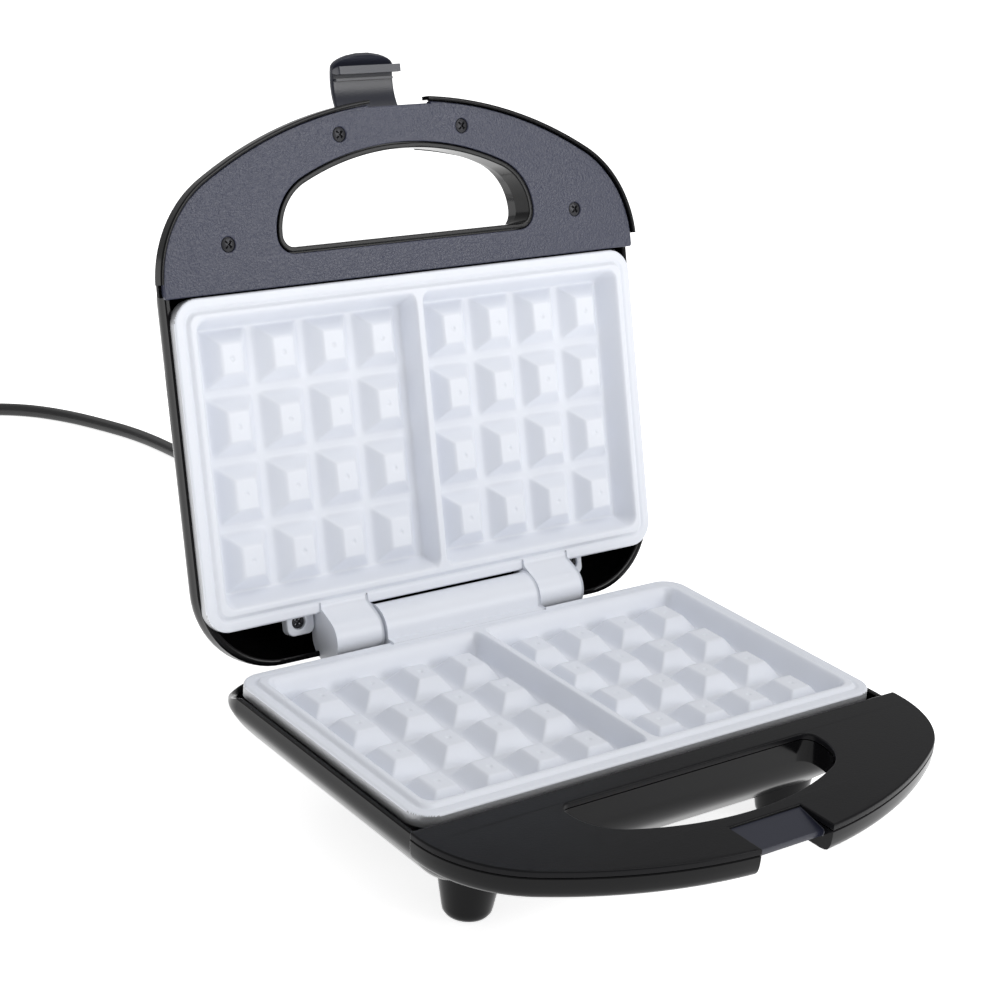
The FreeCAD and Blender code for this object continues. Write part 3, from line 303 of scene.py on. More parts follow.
def piece(name, solid, body, look, nodes=(), lid=False, sharp=40.0, weighted=True):
    """A finished object: placed in the frame, shaded, given its looks, with the CAD nodes it
    stands for hidden.
    """
    verts, faces = solid
    mesh = bpy.data.meshes.new(name)
    mesh.from_pydata([tuple(vert) for vert in verts], [], faces)
    mesh.transform(LID_FRAME if lid else BASE_FRAME)
    work = bmesh.new()
    work.from_mesh(mesh)
    bmesh.ops.remove_doubles(work, verts=work.verts, dist=1e-7)
    bmesh.ops.dissolve_degenerate(work, edges=work.edges, dist=1e-7)
    bmesh.ops.recalc_face_normals(work, faces=work.faces)
    work.to_mesh(mesh)
    work.free()
    mesh.shade_smooth()
    mesh.set_sharp_from_angle(angle=math.radians(sharp))
    for one in look if isinstance(look, (list, tuple)) else [look]:
        mesh.materials.append(one)
    thing = bpy.data.objects.new(name, mesh)
    bpy.context.scene.collection.objects.link(thing)
    if weighted:
        modifier = thing.modifiers.new("weighted_normals", "WEIGHTED_NORMAL")
        modifier.keep_sharp = True
    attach(thing, body)
    if nodes:
        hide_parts(*nodes)
    return thing


# ------------------------------------------------------------------ cooking plates

def inset_of(x, y):
    """Distance inside the plate's rounded outline, for arrays of points."""
    mid_y = (PLATE_FRONT + PLATE_REAR) / 2
    out_x = np.abs(x) - (PLATE_HALF - PLATE_RADIUS)
    out_y = np.abs(y - mid_y) - ((PLATE_REAR - PLATE_FRONT) / 2 - PLATE_RADIUS)
    outside = np.hypot(np.maximum(out_x, 0.0), np.maximum(out_y, 0.0))
    return PLATE_RADIUS - outside - np.minimum(np.maximum(out_x, out_y), 0.0)


def ease(t):
    t = np.clip(t, 0.0, 1.0)
    return t * t * (3.0 - 2.0 * t)


def soft_min(a, b, width):
    blend = np.clip(0.5 + 0.5 * (b - a) / width, 0.0, 1.0)
    return b * (1 - blend) + a * blend - width * blend * (1 - blend)


def plate_relief(x, y):
    """Depth of the cooking face below the parting plane, as a negative height."""
    inset = inset_of(x, y)
    lip_start, lip_run = 5.0, 1.3
    height = -PLATE_BAND + (PLATE_BAND - PLATE_LIP) * ease((inset - lip_start) / lip_run)
    groove_inset, groove_width, groove_depth = 4.7, 0.7, 0.45
    height -= groove_depth * np.exp(-((inset - groove_inset) / groove_width) ** 2)
    outer = 0.8
    edge = np.clip(outer - inset, 0.0, outer)
    height -= outer - np.sqrt(outer ** 2 - edge ** 2)

    wall, ridge, ridge_half = 5.6, 3.2, 1.25
    shares = [
        (POCKET_HALF + wall - np.abs(x)) / wall,
        (POCKET_REAR + wall - y) / wall,
        (y - POCKET_FRONT + wall) / wall,
        (np.abs(x) - ridge_half) / ridge,
    ]
    short = sum(np.maximum(0.0, 1.0 - share) ** 2 for share in shares)
    depth = ease(1.0 - np.sqrt(short))
    height = height * (1 - depth) + POCKET_FLOOR * depth
    return height + stud_rise(x, y)


def stud_rise(x, y):
    """Height of the studs above the pocket's floor: flat-topped, soft-edged and dimpled."""
    tall, foot_x, foot_y, run_x, run_y = 6.3, 9.6, 11.0, 4.9, 5.0
    zone_x, zone_y = 12.0, 13.5
    corner_soft, top_soft, foot_soft = 0.7, 0.4, 1.0
    dimple_depth, dimple_radius = 0.4, 0.85
    studs = np.zeros_like(x)
    for column in STUD_COLUMNS:
        for row in STUD_ROWS:
            away_x, away_y = np.abs(x - column), np.abs(y - row)
            near = (away_x < zone_x) & (away_y < zone_y)
            side_x = (foot_x - away_x) * tall / run_x
            side_y = (foot_y - away_y) * tall / run_y
            rise = soft_min(side_x, side_y, corner_soft)
            rise = soft_min(rise, np.full_like(x, tall), top_soft)
            rise = -soft_min(-rise, np.zeros_like(x), foot_soft)
            away = np.hypot(x - column, y - row)
            dimple = dimple_depth * np.exp(-(away / dimple_radius) ** 4)
            studs = np.where(near, np.maximum(studs, rise - dimple), studs)
    return studs


def graded(low, high, coarse, fine, zones):
    """Positions from low to high, close together inside the zones."""
    places, here = [low], low
    while here < high - fine:
        here += fine if any(a <= here <= b for a, b in zones) else coarse
        places.append(min(here, high))
    if places[-1] < high:
        places.append(high)
    return places


def plate_face(side):
    """The cooking face, the bare flange edge and the back of a plate, as one closed solid."""
    rim, ridge, dimple, coarse, fine = 14.0, 4.6, 1.7, 0.8, 0.42
    across_zones = [(-PLATE_HALF, -PLATE_HALF + rim), (PLATE_HALF - rim, PLATE_HALF),
                    (-ridge, ridge)]
    across_zones += [(column - dimple, column + dimple) for column in STUD_COLUMNS]
    along_zones = [(PLATE_FRONT, PLATE_FRONT + rim), (PLATE_REAR - rim, PLATE_REAR)]
    along_zones += [(row - dimple, row + dimple) for row in STUD_ROWS]
    xs = np.array(graded(-PLATE_HALF, PLATE_HALF, coarse, fine, across_zones))
    ys = np.array(graded(PLATE_FRONT, PLATE_REAR, coarse, fine, along_zones))
    x, y = np.meshgrid(xs, ys, indexing="ij")
    inset = inset_of(x, y)
    inside = inset > -1e-6

    mid_y = (PLATE_FRONT + PLATE_REAR) / 2
    core_x = np.clip(x, -PLATE_HALF + PLATE_RADIUS, PLATE_HALF - PLATE_RADIUS)
    half_y = (PLATE_REAR - PLATE_FRONT) / 2 - PLATE_RADIUS
    core_y = np.clip(y, mid_y - half_y, mid_y + half_y)
    reach = np.maximum(np.hypot(x - core_x, y - core_y), 1e-9)
    x = np.where(inside, x, core_x + (x - core_x) / reach * PLATE_RADIUS)
    y = np.where(inside, y, core_y + (y - core_y) / reach * PLATE_RADIUS)
    z = plate_relief(x, y)

    work = bmesh.new()
    points = [work.verts.new((float(a), float(b), float(c)))
              for a, b, c in zip(x.ravel(), y.ravel(), z.ravel())]
    rows = len(ys)
    for i in range(len(xs) - 1):
        for j in range(rows - 1):
            if inside[i:i + 2, j:j + 2].any():
                k = i * rows + j
                work.faces.new((points[k], points[k + rows], points[k + rows + 1], points[k + 1]))
    bmesh.ops.delete(work, geom=[v for v in work.verts if not v.link_faces], context="VERTS")
    bmesh.ops.remove_doubles(work, verts=work.verts, dist=0.02)

    def pull(inward, level):
        """Carry the open rim inward and down to a new level."""
        edges = [edge for edge in work.edges if len(edge.link_faces) == 1]
        made = bmesh.ops.extrude_edge_only(work, edges=edges)["geom"]
        for vert in (g for g in made if isinstance(g, bmesh.types.BMVert)):
            anchor = Vector((min(max(vert.co.x, -PLATE_HALF + PLATE_RADIUS),
                                 PLATE_HALF - PLATE_RADIUS),
                             min(max(vert.co.y, mid_y - half_y), mid_y + half_y), vert.co.z))
            away = vert.co - anchor
            if away.length > 1e-6:
                vert.co -= away.normalized() * inward
            vert.co.z = level

    chamfer, flange = 0.6, 4.9
    pull(0.0, -FLANGE_DROP + chamfer)
    pull(chamfer, -FLANGE_DROP)
    pull(flange, -FLANGE_DROP)
    pull(0.0, -BASIN_DROP)
    rim_edges = [edge for edge in work.edges if len(edge.link_faces) == 1]
    bmesh.ops.contextual_create(work, geom=rim_edges)
    work.verts.index_update()
    verts = [(v.co.x, v.co.y, -v.co.z * side) for v in work.verts]
    faces = [tuple(v.index for v in face.verts) for face in work.faces]
    work.free()
    return verts, faces


def coat_faces(thing, lid):
    """The second finish, bare metal, on faces that look sideways or away at the flange."""
    frame_matrix = (LID_FRAME if lid else BASE_FRAME).inverted()
    turn = frame_matrix.to_3x3().normalized()
    side = 1.0 if lid else -1.0
    below, flange, beyond = PLATE_BAND + 0.5, 6.5, 0.3
    for face in thing.data.polygons:
        centre = frame_matrix @ face.center
        normal = turn @ face.normal
        low = abs(centre.z) > below
        outer = (abs(centre.x) > PLATE_HALF - flange
                 or not PLATE_FRONT + flange < centre.y < PLATE_REAR - flange)
        rim = centre.y < PLATE_REAR + beyond
        if low and outer and rim and (abs(normal.z) < 0.8 or normal.z * side > 0.3):
            face.material_index = 1


def knuckle(start, end, radius, side, root):
    """A hinge barrel that leaves its plate's rim at root, clear of the other plate."""
    overlap, sunk = 2.0, 1.0
    edge = PLATE_REAR - overlap
    top = -PLATE_LIP - sunk

    def tangent(y, level, way):
        """Where a line from this point touches the barrel, in degrees."""
        toward = math.degrees(math.atan2(level, y)) % 360.0
        return toward + way * math.degrees(math.acos(radius / math.hypot(y, level)))

    barrel = arc((0.0, 0.0), radius, tangent(root, top, -1),
                 tangent(edge, -FLANGE_DROP, 1) - 360.0, 40)
    outline = [(edge, top), (root, top), *barrel, (edge, -FLANGE_DROP)]
    points = [(y, z * -side) for y, z in outline]
    return prism([points if side < 0 else points[::-1]], start, end, 0.9, 0.9, across)


def build_plates():
    barrel_half, barrel_radius, barrel_root = 38.3, 9.7, -10.2
    barrel = knuckle(-barrel_half, barrel_half, barrel_radius, -1, barrel_root)
    lower = piece("lower_plate_cast", join(plate_face(-1), barrel), "base",
                  [COATING, RAW_ALUMINIUM], ["lower_plate"], sharp=60.0)
    coat_faces(lower, False)

    verts, faces = plate_face(1)
    wide, long, left, forward = 1.012, 1.02, 0.8, 1.1
    verts = [(x * wide - left, PLATE_FRONT - forward + (y - PLATE_FRONT) * long, z)
             for x, y, z in verts]
    ear_radius, ear_root = 8.8, -11.8
    ears = [knuckle(start, end, ear_radius, 1, ear_root)
            for start, end in ((39.3, 62.5), (-61.5, -39.3))]
    tab_near, tab_far, hole_radius = 62.0, 74.5, 3.1
    tabs = []
    for sign in (-1, 1):
        near, far = sorted((sign * tab_near, sign * tab_far))
        outline = rounded(near, far, PLATE_REAR - 1.5, -2.5, 1.0, 3.2, 6)
        hole = circle(TAB_SCREW_X * sign, TAB_SCREW_Y, hole_radius)
        tabs.append(prism([outline, hole], 6.0, 7.6, 0.5, 0.0))
        tabs.append(prism([outline], 7.5, 10.0))
    upper = piece("upper_plate_cast", join((verts, faces), *ears, *tabs), "lid",
                  [COATING, RAW_ALUMINIUM], ["upper_plate"], lid=True, sharp=60.0)
    coat_faces(upper, True)


# ------------------------------------------------------------------ shells

def between(sections, level):
    """Shell measures at a level: a smooth curve through the stated sections."""
    levels = [section[0] for section in sections]
    k = 0
    while k < len(levels) - 2 and level > levels[k + 1]:
        k += 1
    before, here = sections[max(k - 1, 0)], sections[k]
    after, beyond = sections[k + 1], sections[min(k + 2, len(sections) - 1)]
    t = (level - here[0]) / (after[0] - here[0])
    values = []
    for m in range(1, len(here)):
        step = after[0] - here[0]
        rise = (after[m] - here[m]) / step
        slope_in = (after[m] - before[m]) / (after[0] - before[0]) if k else rise
        slope_out = ((beyond[m] - here[m]) / (beyond[0] - here[0])
                     if beyond is not after else rise)
        a, b = slope_in * step, slope_out * step
        values.append((2 * t ** 3 - 3 * t ** 2 + 1) * here[m] + (t ** 3 - 2 * t ** 2 + t) * a
                      + (-2 * t ** 3 + 3 * t ** 2) * after[m] + (t ** 3 - t ** 2) * b)
    return values


# Each section: level, half width, front, front corner radius, rear, rear corner radius.
LOWER_SECTIONS = [
    (5.5, 113.5, -148.0, 6.0, -9.3, 12.0),
    (13.0, 113.0, -148.0, 7.0, 5.0, 26.0),
    (25.0, 103.0, -146.5, 10.0, -1.0, 22.0),
    (34.0, 89.5, -139.0, 14.0, -6.0, 17.0),
    (36.5, 84.0, -136.0, 14.0, -9.0, 15.0),
]
UPPER_SECTIONS = [
    (5.5, 112.8, -148.0, 6.0, 7.4, 34.0),
    (13.0, 112.3, -148.0, 7.0, 7.4, 34.0),
    (25.0, 104.0, -146.5, 10.0, 0.5, 24.0),
    (34.0, 89.5, -139.0, 14.0, -14.0, 17.0),
    (36.5, 84.0, -136.0, 14.0, -20.0, 15.0),
]


def shell(sections, side, dip=None):
    """A hollow shell: inner skin, rounded rim and outer skin; dip lowers the rim at the rear."""
    top, bottom = sections[0][0], sections[-1][0]

    def outline(level, shrink):
        half, front, front_radius, rear, rear_radius = between(sections, level)
        return rounded(-half + shrink, half - shrink, front + shrink, rear - shrink,
                       front_radius, rear_radius, 16)

    rim = outline(top, 0.0)
    starts = [dip(y) if dip else top for _, y in rim]

    def loop(share, shrink, lift=0.0, end=bottom):
        points = []
        for k, start in enumerate(starts):
            level = start + (end - start) * share
            x, y = outline(level, shrink)[k]
            points.append((x, y, (level + lift) * side))
        return points

    wall, count, rim_round, rim_rise = SHELL_WALL, 22, 0.5, -0.45
    inner = [loop(k / count, wall, end=bottom - wall) for k in range(count, -1, -1)]
    edge = [loop(0.0, wall - rim_round, rim_rise), loop(0.0, rim_round, rim_rise)]
    outer = [loop(k / count, 0.0) for k in range(count + 1)]
    return stack(inner + edge + outer)


def rear_dip(y):
    """The base's rim drops away behind the plate, where the lid's rear wall comes down."""
    start, run, depth = -21.0, 10.0, 7.3
    share = min(1.0, max(0.0, (y - start) / run))
    return LOWER_SECTIONS[0][0] + depth * share * share * (3.0 - 2.0 * share)


def foot(x, y):
    """A foot from inside the base shell down to the table, its lower edge rounded."""
    return revolve([(6.2, -30.0), (13.0, -30.0), (12.0, -37.0), (9.6, TABLE + 4.2),
                    (9.2, TABLE + 2.4), (8.2, TABLE + 1.0), (6.6, TABLE + 0.25),
                    (5.2, TABLE)], x, y)


# Level and outer inset of each handle tray, from the cover's side to the far side.
LID_TRAY = [(5.2, 0.3), (5.5, 0.1), (6.5, 1.0), (9.0, 3.4), (12.0, 6.8), (15.0, 10.4),
            (17.5, 13.6), (19.2, 16.2), (20.1, 18.2), (20.5, 20.4)]
BASE_TRAY = [(-5.3, 0.4), (-5.7, 0.0), (-8.0, 0.1), (-10.5, 0.4), (-12.2, 1.0), (-13.4, 1.9),
             (-14.0, 3.2), (-14.3, 5.4)]


def drawn_in(notch, inset, rear=HANDLE["rear"]):
    """The handle's outline drawn in at its sides and front, its rear staying at the shell."""
    return bow(HANDLE["half"] - inset, rear, HANDLE["front"] + inset, HANDLE["small"],
               HANDLE["corner"] - inset, HANDLE["sweep"] - inset, notch)


def tapered(notch, hole, levels, widening):
    """A handle tray whose outer side draws in with depth while its hand hole widens."""
    verts, faces, ends = [], [], []
    draft = [(levels[0][0], 0.0), (levels[-1][0], widening)]
    for inside, rows in ((False, levels), (True, draft)):
        first, count = len(verts), 0
        for level, inset in rows:
            ring = bow(**hole, grow=inset) if inside else drawn_in(notch, inset)
            count = len(ring)
            verts += [flat(point, level) for point in ring]
        for step in range(len(rows) - 1):
            for k in range(count):
                a, b = first + step * count + k, first + step * count + (k + 1) % count
                faces.append((a, b, b + count, a + count))
        ends.append((first, first + (len(rows) - 1) * count, count))
    for which in (0, 1):
        loops = [[end[which] + k for k in range(end[2])] for end in ends]
        order = [k for loop in loops for k in loop]
        for triangle in tessellate_polygon([[Vector(verts[k]) for k in loop] for loop in loops]):
            faces.append(tuple(order[k] for k in triangle))
    return verts, faces


def build_base():
    notch = (NOTCH_HALF, -193.4)
    tray = tapered(notch, LOW_HOLE, BASE_TRAY, 0.0)
    ledge = [(-192.0, -13.0), (-206.0, -9.0), (-206.4, -7.6), (-206.0, -6.6), (-193.0, -3.6),
             (-192.0, -3.6)]
    gap = 0.1
    bar = prism([ledge], -NOTCH_HALF + gap, NOTCH_HALF - gap, 0.3, 0.3, across)
    feet = [foot(x, y) for x, y in FEET]
    body = shell(LOWER_SECTIONS, -1, rear_dip)
    piece("base_shell", join(body, tray, *feet), "base", GLOSS_BLACK, ["lower_housing"])
    piece("latch_ledge", bar, "base", LATCH_BLACK)

    under, top = -5.0, -2.6
    cover = prism([bow(**HANDLE, notch=notch), bow(**LOW_HOLE)], under, top, 0.3, 0.7)
    piece("base_handle_cover", cover, "base", BASE_COVER, ["lower_handle_cover"])


def build_lid():
    notch = (NOTCH_HALF, -196.0)
    tray = tapered(notch, LID_HOLE, LID_TRAY, 2.2)
    lip_wall, collar_wall, cover_gap = 1.5, 2.0, 2.5
    lip = prism([bow(**HANDLE), bow(**HANDLE, grow=-lip_wall)], 1.0, 6.0, 0.5, 0.0)
    collar = prism([bow(**LID_HOLE, grow=collar_wall), bow(**LID_HOLE)], 2.3, 12.0, 0.4, 0.0)
    body = shell(UPPER_SECTIONS, 1)
    piece("lid_shell", join(body, tray, collar), "lid", GLOSS_BLACK, ["upper_housing"], lid=True)
    trim = piece("lid_lip", lip, "lid", GLOSS_BLACK, lid=True)
    behind, around_latch = (-300, 300, -147.0, 100, -50, 50), (-15.0, 13.5, -230, -190, -50, 50)
    cutter(trim, [behind, around_latch])

    cover_notch, cover_rear, screw_hole = (15.0, -208.2), -141.2, 3.05
    hole = bow(**LID_HOLE, grow=cover_gap)
    cover = prism([drawn_in(cover_notch, 1.9, cover_rear), hole]
                  + [circle(x, y, screw_hole) for x, y in SCREW_SPOTS], 2.5, 4.2, 0.5, 0.0)
    seat = prism([drawn_in(cover_notch, 2.1), hole], 4.1, 5.1)
    # The cover's material has a painted sheen in its grey-blue base colour.
    piece("lid_handle_cover", join(cover, seat), "lid", LID_COVER_PAINTED_SHEEN, ["upper_handle_cover"],
          lid=True)


def cutter(thing, boxes):
    """Cut boxes (left, right, front, rear, low, high) in the hinge frame out of a lid piece."""
    solids = []
    for left, right, front, rear, low, high in boxes:
        solids.append(prism([[(left, front), (right, front), (right, rear), (left, rear)]],
                            low, high))
    verts, faces = join(*solids)
    mesh = bpy.data.meshes.new("cutter")
    mesh.from_pydata(verts, [], faces)
    mesh.transform(LID_FRAME)
    tool = bpy.data.objects.new("cutter", mesh)
    bpy.context.scene.collection.objects.link(tool)
    modifier = thing.modifiers.new("cut", "BOOLEAN")
    modifier.operation = "DIFFERENCE"
    modifier.solver = "EXACT"
    modifier.object = tool
    bpy.context.view_layer.update()
    graph = bpy.context.evaluated_depsgraph_get()
    result = bpy.data.meshes.new_from_object(thing.evaluated_get(graph))
    thing.modifiers.remove(modifier)
    thing.data = result
    bpy.data.objects.remove(tool)


# ------------------------------------------------------------------ latch, screws and pins

def build_latch():
    """A bowed thumb lever with its barrel, hook bar and the rib below the bar."""
    pivot_y, pivot_z = LATCH_PIVOT.y, LATCH_PIVOT.z
    half, thick, bend, shift = 14.9, 2.4, 23.6, 1.9
    centre_y, centre_z = pivot_y - 17.2, pivot_z - 9.8
    first, sweep, steps = 40.0, 80.0, 44
    tip_share, tip_width = 0.16, 0.97
    loops = []
    for k in range(steps + 1):
        angle = math.radians(first + sweep * k / steps)
        end = max(0.0, (k / steps - 1.0 + tip_share) / tip_share)
        width = half * math.sqrt(max(0.02, 1.0 - (end * tip_width) ** 2))
        section = rounded(-width, width, -thick / 2, thick / 2, min(0.9, width / 2), None, 4)
        loops.append([(u - shift, centre_y + (bend + v) * math.cos(angle),
                       centre_z + (bend + v) * math.sin(angle)) for u, v in section])
    strip = stack(loops)
    barrel = prism([circle(pivot_y, pivot_z, 5.1)], -half - 1.6, half - 2.0, 0.5, 0.5, across)

    bar_y, bar_z = pivot_y - 22.6, pivot_z + 8.6
    thin, wide, under, shoulder, top = 0.8, 1.6, 1.8, 0.8, 5.0
    profile = [(bar_y - wide, bar_z - under), (bar_y + wide, bar_z - under),
               (bar_y + wide, bar_z + shoulder), (bar_y + thin, bar_z + top),
               (bar_y - thin, bar_z + top), (bar_y - wide, bar_z + shoulder)]
    hook = prism([profile], -half - 1.6, half - 1.4, 0.5, 0.5, across)

    rib_front, rib_rear = pivot_y - 19.6, pivot_y - 18.6
    rib_low, rib_high = pivot_z + 11.0, pivot_z + 13.4
    profile = [(rib_front, rib_low), (rib_rear, rib_low), (rib_rear, rib_high),
               (rib_front, rib_high)]
    rib = prism([profile], -half - 0.9, half - 2.9, 0.3, 0.3, across)
    piece("latch_lever", join(strip, barrel, hook, rib), "latch", LATCH_BLACK, ["latch"], lid=True)


def screw_head(x, y, level, radius):
    """A domed head with a cross recess, facing down in the hinge frame."""
    rings, spokes, rise, recess, centre_recess, skirt = 18, 64, 0.35, 0.9, 1.0, 1.2
    arm_long, arm_half, arm_floor = 0.66, 0.17, 0.09
    verts = [(x, y, level - (rise - centre_recess))]
    for ring in range(1, rings + 1):
        share = ring / rings
        for k in range(spokes):
            angle = 2 * math.pi * k / spokes
            u, v = share * math.cos(angle), share * math.sin(angle)
            height = rise * (1 - share ** 2)
            arm = min(abs(u + v), abs(u - v)) / math.sqrt(2)
            reach = max(abs(u + v), abs(u - v)) / math.sqrt(2)
            if reach < arm_long and arm < arm_half:
                height -= recess * min(1.0, (arm_half - arm) / (arm_half - arm_floor))
            verts.append((x + u * radius, y + v * radius, level - height))
    faces = [(0, 1 + k, 1 + (k + 1) % spokes) for k in range(spokes)]
    for ring in range(rings - 1):
        for k in range(spokes):
            a, b = 1 + ring * spokes + k, 1 + ring * spokes + (k + 1) % spokes
            faces.append((a, a + spokes, b + spokes, b))
    last = 1 + (rings - 1) * spokes
    low = len(verts)
    verts += [flat(point, level + skirt) for point in circle(x, y, radius, spokes)]
    for k in range(spokes):
        nxt = (k + 1) % spokes
        faces.append((last + k, low + k, low + nxt, last + nxt))
    faces.append(tuple(range(low + spokes - 1, low - 1, -1)))
    return verts, faces


def screws(name, spots, level, radius, look, node, body):
    """One piece for all the heads of a set of screws."""
    heads = [screw_head(x, y, level, radius) for x, y in spots]
    piece(name, join(*heads), body, look, [node], lid=body == "lid", sharp=30.0, weighted=False)


def build_screws():
    pin_radius, pin_half = 2.4, 61.0
    pin = prism([circle(0.0, 0.0, pin_radius, 24)], -pin_half, pin_half, 0.3, 0.3, across)
    piece("hinge_rod", pin, "base", STEEL, ["hinge_pin"])

    tab_spots = [(-TAB_SCREW_X, TAB_SCREW_Y), (TAB_SCREW_X, TAB_SCREW_Y)]
    plate_spots = [(x, y) for x in (-50, 50) for y in (-50, -102)]
    small, large = 2.75, 3.1
    screws("cover_screws", SCREW_SPOTS, 3.0, small, SCREW_BLACK, "handle_cover_screws", "lid")
    screws("tab_screws", tab_spots, 6.9, small, SCREW_BLACK, "hinge_tab_screws", "lid")
    screws("under_handle_screws", SCREW_SPOTS, -15.0, small, SCREW_BLACK,
           "lower_handle_screws", "base")
    screws("under_plate_screws", plate_spots, -37.7, large, STEEL, "lower_plate_screws", "base")


# ------------------------------------------------------------------ cord

CORD = 7.0
LAID = -51.1  # level of the cord's middle where it lies on the table
CORD_ROUTE = [
    (60.0, 30.0, -24.0), (60.0, 57.0, -24.6), (60.5, 100.0, -38.0), (61.0, 150.0, LAID),
    (62.5, 215.0, LAID), (63.0, 285.0, LAID), (60.5, 340.0, LAID), (54.5, 380.0, LAID),
    (43.5, 407.0, LAID), (31.5, 430.0, LAID), (15.5, 449.0, LAID), (-8.0, 461.5, LAID),
    (-38.0, 466.0, LAID),
]
COIL_CENTRE, COIL_RADIUS, COIL_TURNS = (-72.0, 425.0), 38.5, 1.25
PLUG_START = (-110.0, 398.0, -36.7)


def nurbs(name, points):
    data = bpy.data.curves.new(name, "CURVE")
    data.dimensions = "3D"
    data.bevel_depth = CORD / 2 * MM
    data.bevel_resolution = 6
    data.resolution_u = 8
    data.use_fill_caps = True
    spline = data.splines.new("NURBS")
    spline.points.add(len(points) - 1)
    for spot, point in zip(spline.points, points):
        spot.co = (*(BASE_FRAME @ Vector(point)), 1.0)
    spline.order_u = 3
    spline.use_endpoint_u = True
    thing = bpy.data.objects.new(name, data)
    bpy.context.scene.collection.objects.link(thing)
    return thing


def cord_points():
    """The route, a coil whose later part climbs over its first, and the turn into the plug."""
    points = list(CORD_ROUTE)
    per_turn, crossing, climb_start, climb_turns = 16, -44.0, 0.15, 0.7
    total = int(per_turn * COIL_TURNS)
    for k in range(total + 1):
        angle = math.radians(90.0 + 360.0 * k / per_turn)
        share = min(1.0, max(0.0, (k / per_turn - climb_start) / climb_turns))
        level = LAID + (crossing - LAID) * share * share * (3 - 2 * share)
        points.append((COIL_CENTRE[0] + COIL_RADIUS * math.cos(angle),
                       COIL_CENTRE[1] + COIL_RADIUS * math.sin(angle), level))
    points += [(-110.5, 412.0, -42.0), PLUG_START]
    return points


def rings_along(profile, x, y, level, steps):
    """Circles of (radius, distance) placed along -Y from a point."""
    return stack([[(x + u, y - along, level + v) for u, v in circle(0, 0, radius, steps)]
                  for radius, along in profile])


def build_cord():
    x, y, level = PLUG_START
    profile = [(5.5, 0.0), (7.6, 1.5), (8.4, 6.0), (10.5, 16.0), (13.2, 24.0), (16.5, 27.0),
               (17.8, 28.5), (17.8, 41.0), (17.0, 42.0)]
    grip_near, grip_far, grip_step, grip_radius, grip_growth = 9.6, 11.0, 3.4, 9.3, 0.5
    grips = [prism([circle(x, level, grip_radius + grip_growth * k)],
                   y - grip_far - grip_step * k, y - grip_near - grip_step * k,
                   0.3, 0.3, facing) for k in range(4)]
    plug = piece("mains_plug", join(rings_along(profile, x, y, level, 48), *grips), "base",
                 CORD_BLACK, ["plug_body"])
    pin_profile = [(2.4, 0.0), (2.4, 17.6), (2.0, 18.8), (1.2, 19.4)]
    pin_half_gap, pin_root = 9.5, 41.5
    pins = [rings_along(pin_profile, x + gap, y - pin_root, level, 24)
            for gap in (-pin_half_gap, pin_half_gap)]
    prongs = piece("plug_prongs", join(*pins), "base", BRASS, ["plug_pins"])

    rings, long, thick, taper, groove = 36, 35.0, 6.6, 2.5, 0.45
    exit_x, exit_y, exit_z = CORD_ROUTE[0]
    relief = []
    for k in range(rings + 1):
        share = k / rings
        radius = thick - taper * share
        if k % 4 in (1, 2):
            radius -= groove
        relief.append([(exit_x + u, exit_y - long + long * share, exit_z + v)
                       for u, v in circle(0, 0, radius, 32)])
    piece("strain_relief", stack(relief), "base", CORD_BLACK, ["cord_strain_relief"])

    points = cord_points()
    lead = nurbs("mains_lead", points)
    lead.data.materials.append(CORD_BLACK)
    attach(lead, "base")
    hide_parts("power_cord", "power_cord_tail", "cord_coil")


# ------------------------------------------------------------------ CAD pieces that stay

KEPT = {
    "latch_pin": STEEL, "lower_reflector": RAW_ALUMINIUM,
    "upper_reflector": RAW_ALUMINIUM, "lower_heating_element": SHEATH,
    "upper_heating_element": SHEATH, "lower_thermostat": CERAMIC, "upper_thermostat": CERAMIC,
    "thermal_fuse": CERAMIC, "terminal_block": CERAMIC, "lower_wiring": SLEEVE,
    "upper_wiring": SLEEVE, "power_lamp_lens": RED_LENS, "ready_lamp_lens": GREEN_LENS,
    "neon_lamps": NEON,
}


def dress_kept():
    for name, look in KEPT.items():
        mesh = frame["nodes"][name].data
        mesh.materials.clear()
        mesh.materials.append(look)


# ------------------------------------------------------------------ stage, lights, camera

FLOOR_HALF, FLOOR_GLOW, SKY_STRENGTH = 6.0, 0.8, 0.5
# Each light: position, target, width, height and watts.
LIGHTS = {
    "key": ((1.05, -1.75, 0.95), (0, 0, 0.12), 0.8, 0.8, 13.0),
    "top": ((0.5, -0.4, 2.0), (0, 0, 0.1), 1.0, 1.0, 9.0),
    "back": ((-0.2, 1.8, 1.6), (0, 0, 0.1), 1.8, 1.0, 4.0),
}


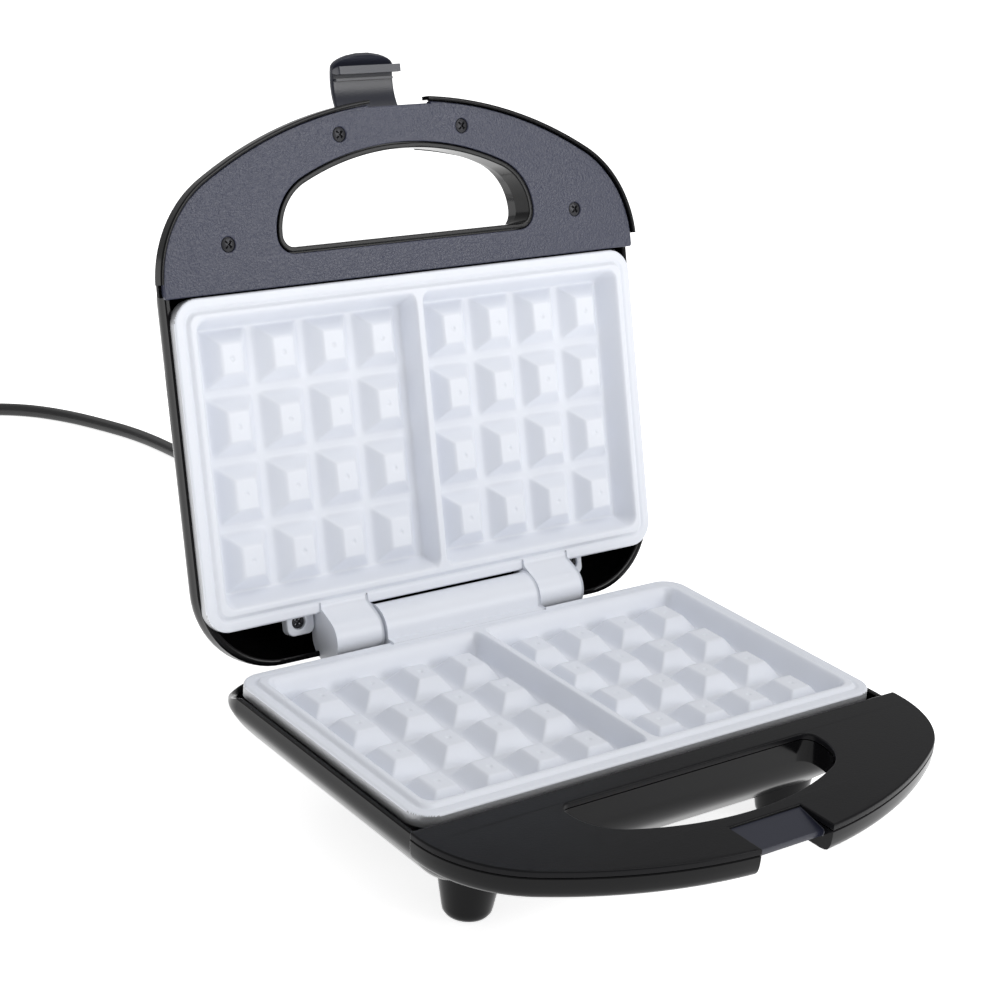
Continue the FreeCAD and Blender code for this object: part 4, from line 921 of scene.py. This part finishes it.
def build_stage():
    mesh = bpy.data.meshes.new("floor")
    wide = FLOOR_HALF
    mesh.from_pydata([(-wide, -wide, 0), (wide, -wide, 0), (wide, wide, 0), (-wide, wide, 0)],
                     [], [(0, 1, 2, 3)])
    white = material("floor_white", (0.93, 0.93, 0.93), 0.9, bump=0.0, shade=1.0, specular=0.0)
    shader = white.node_tree.nodes["Principled BSDF"]
    socket(shader, "Emission Color", (1.0, 1.0, 1.0, 1.0))
    socket(shader, "Emission Strength", FLOOR_GLOW)
    mesh.materials.append(white)
    floor = bpy.data.objects.new("floor", mesh)
    bpy.context.scene.collection.objects.link(floor)

    world = bpy.data.worlds.new("studio")
    bpy.context.scene.world = world
    world.use_nodes = True
    sky = world.node_tree.nodes["Background"]
    sky.inputs["Color"].default_value = (1.0, 1.0, 1.0, 1.0)
    sky.inputs["Strength"].default_value = SKY_STRENGTH


def area_light(name, spot, target, wide, tall, power):
    data = bpy.data.lights.new(name, "AREA")
    data.shape = "RECTANGLE"
    data.size, data.size_y = wide, tall
    data.energy = power
    lamp = bpy.data.objects.new(name, data)
    lamp.location = spot
    lamp.rotation_euler = (Vector(target) - Vector(spot)).to_track_quat("-Z", "Y").to_euler()
    bpy.context.scene.collection.objects.link(lamp)


def build_camera():
    """The photo's viewpoint: turned to the side, looking down and slightly rolled."""
    azimuth, elevation, roll = math.radians(-37.41), math.radians(20.48), math.radians(4.056)
    forward = Vector((-math.sin(azimuth) * math.cos(elevation),
                      math.cos(azimuth) * math.cos(elevation), -math.sin(elevation)))
    right = forward.cross(Vector((0, 0, 1))).normalized()
    up = right.cross(forward)
    tilted = right * math.cos(roll) + up * math.sin(roll)
    top = up * math.cos(roll) - right * math.sin(roll)
    data = bpy.data.cameras.new("camera")
    data.sensor_width, data.lens = 36.0, 79.55
    camera = bpy.data.objects.new("camera", data)
    rows = Matrix((tilted, top, -forward)).transposed()
    spot = HINGE + Vector((-0.4987, -0.6800, 0.3656))
    camera.matrix_world = Matrix.Translation(spot) @ rows.to_4x4()
    bpy.context.scene.collection.objects.link(camera)
    bpy.context.scene.camera = camera


def build():
    build_plates()
    build_base()
    build_lid()
    build_latch()
    build_screws()
    build_cord()
    dress_kept()
    build_stage()
    build_camera()
    for name, values in LIGHTS.items():
        area_light(name, *values)
    bpy.context.scene.view_settings.view_transform = "Standard"


build()
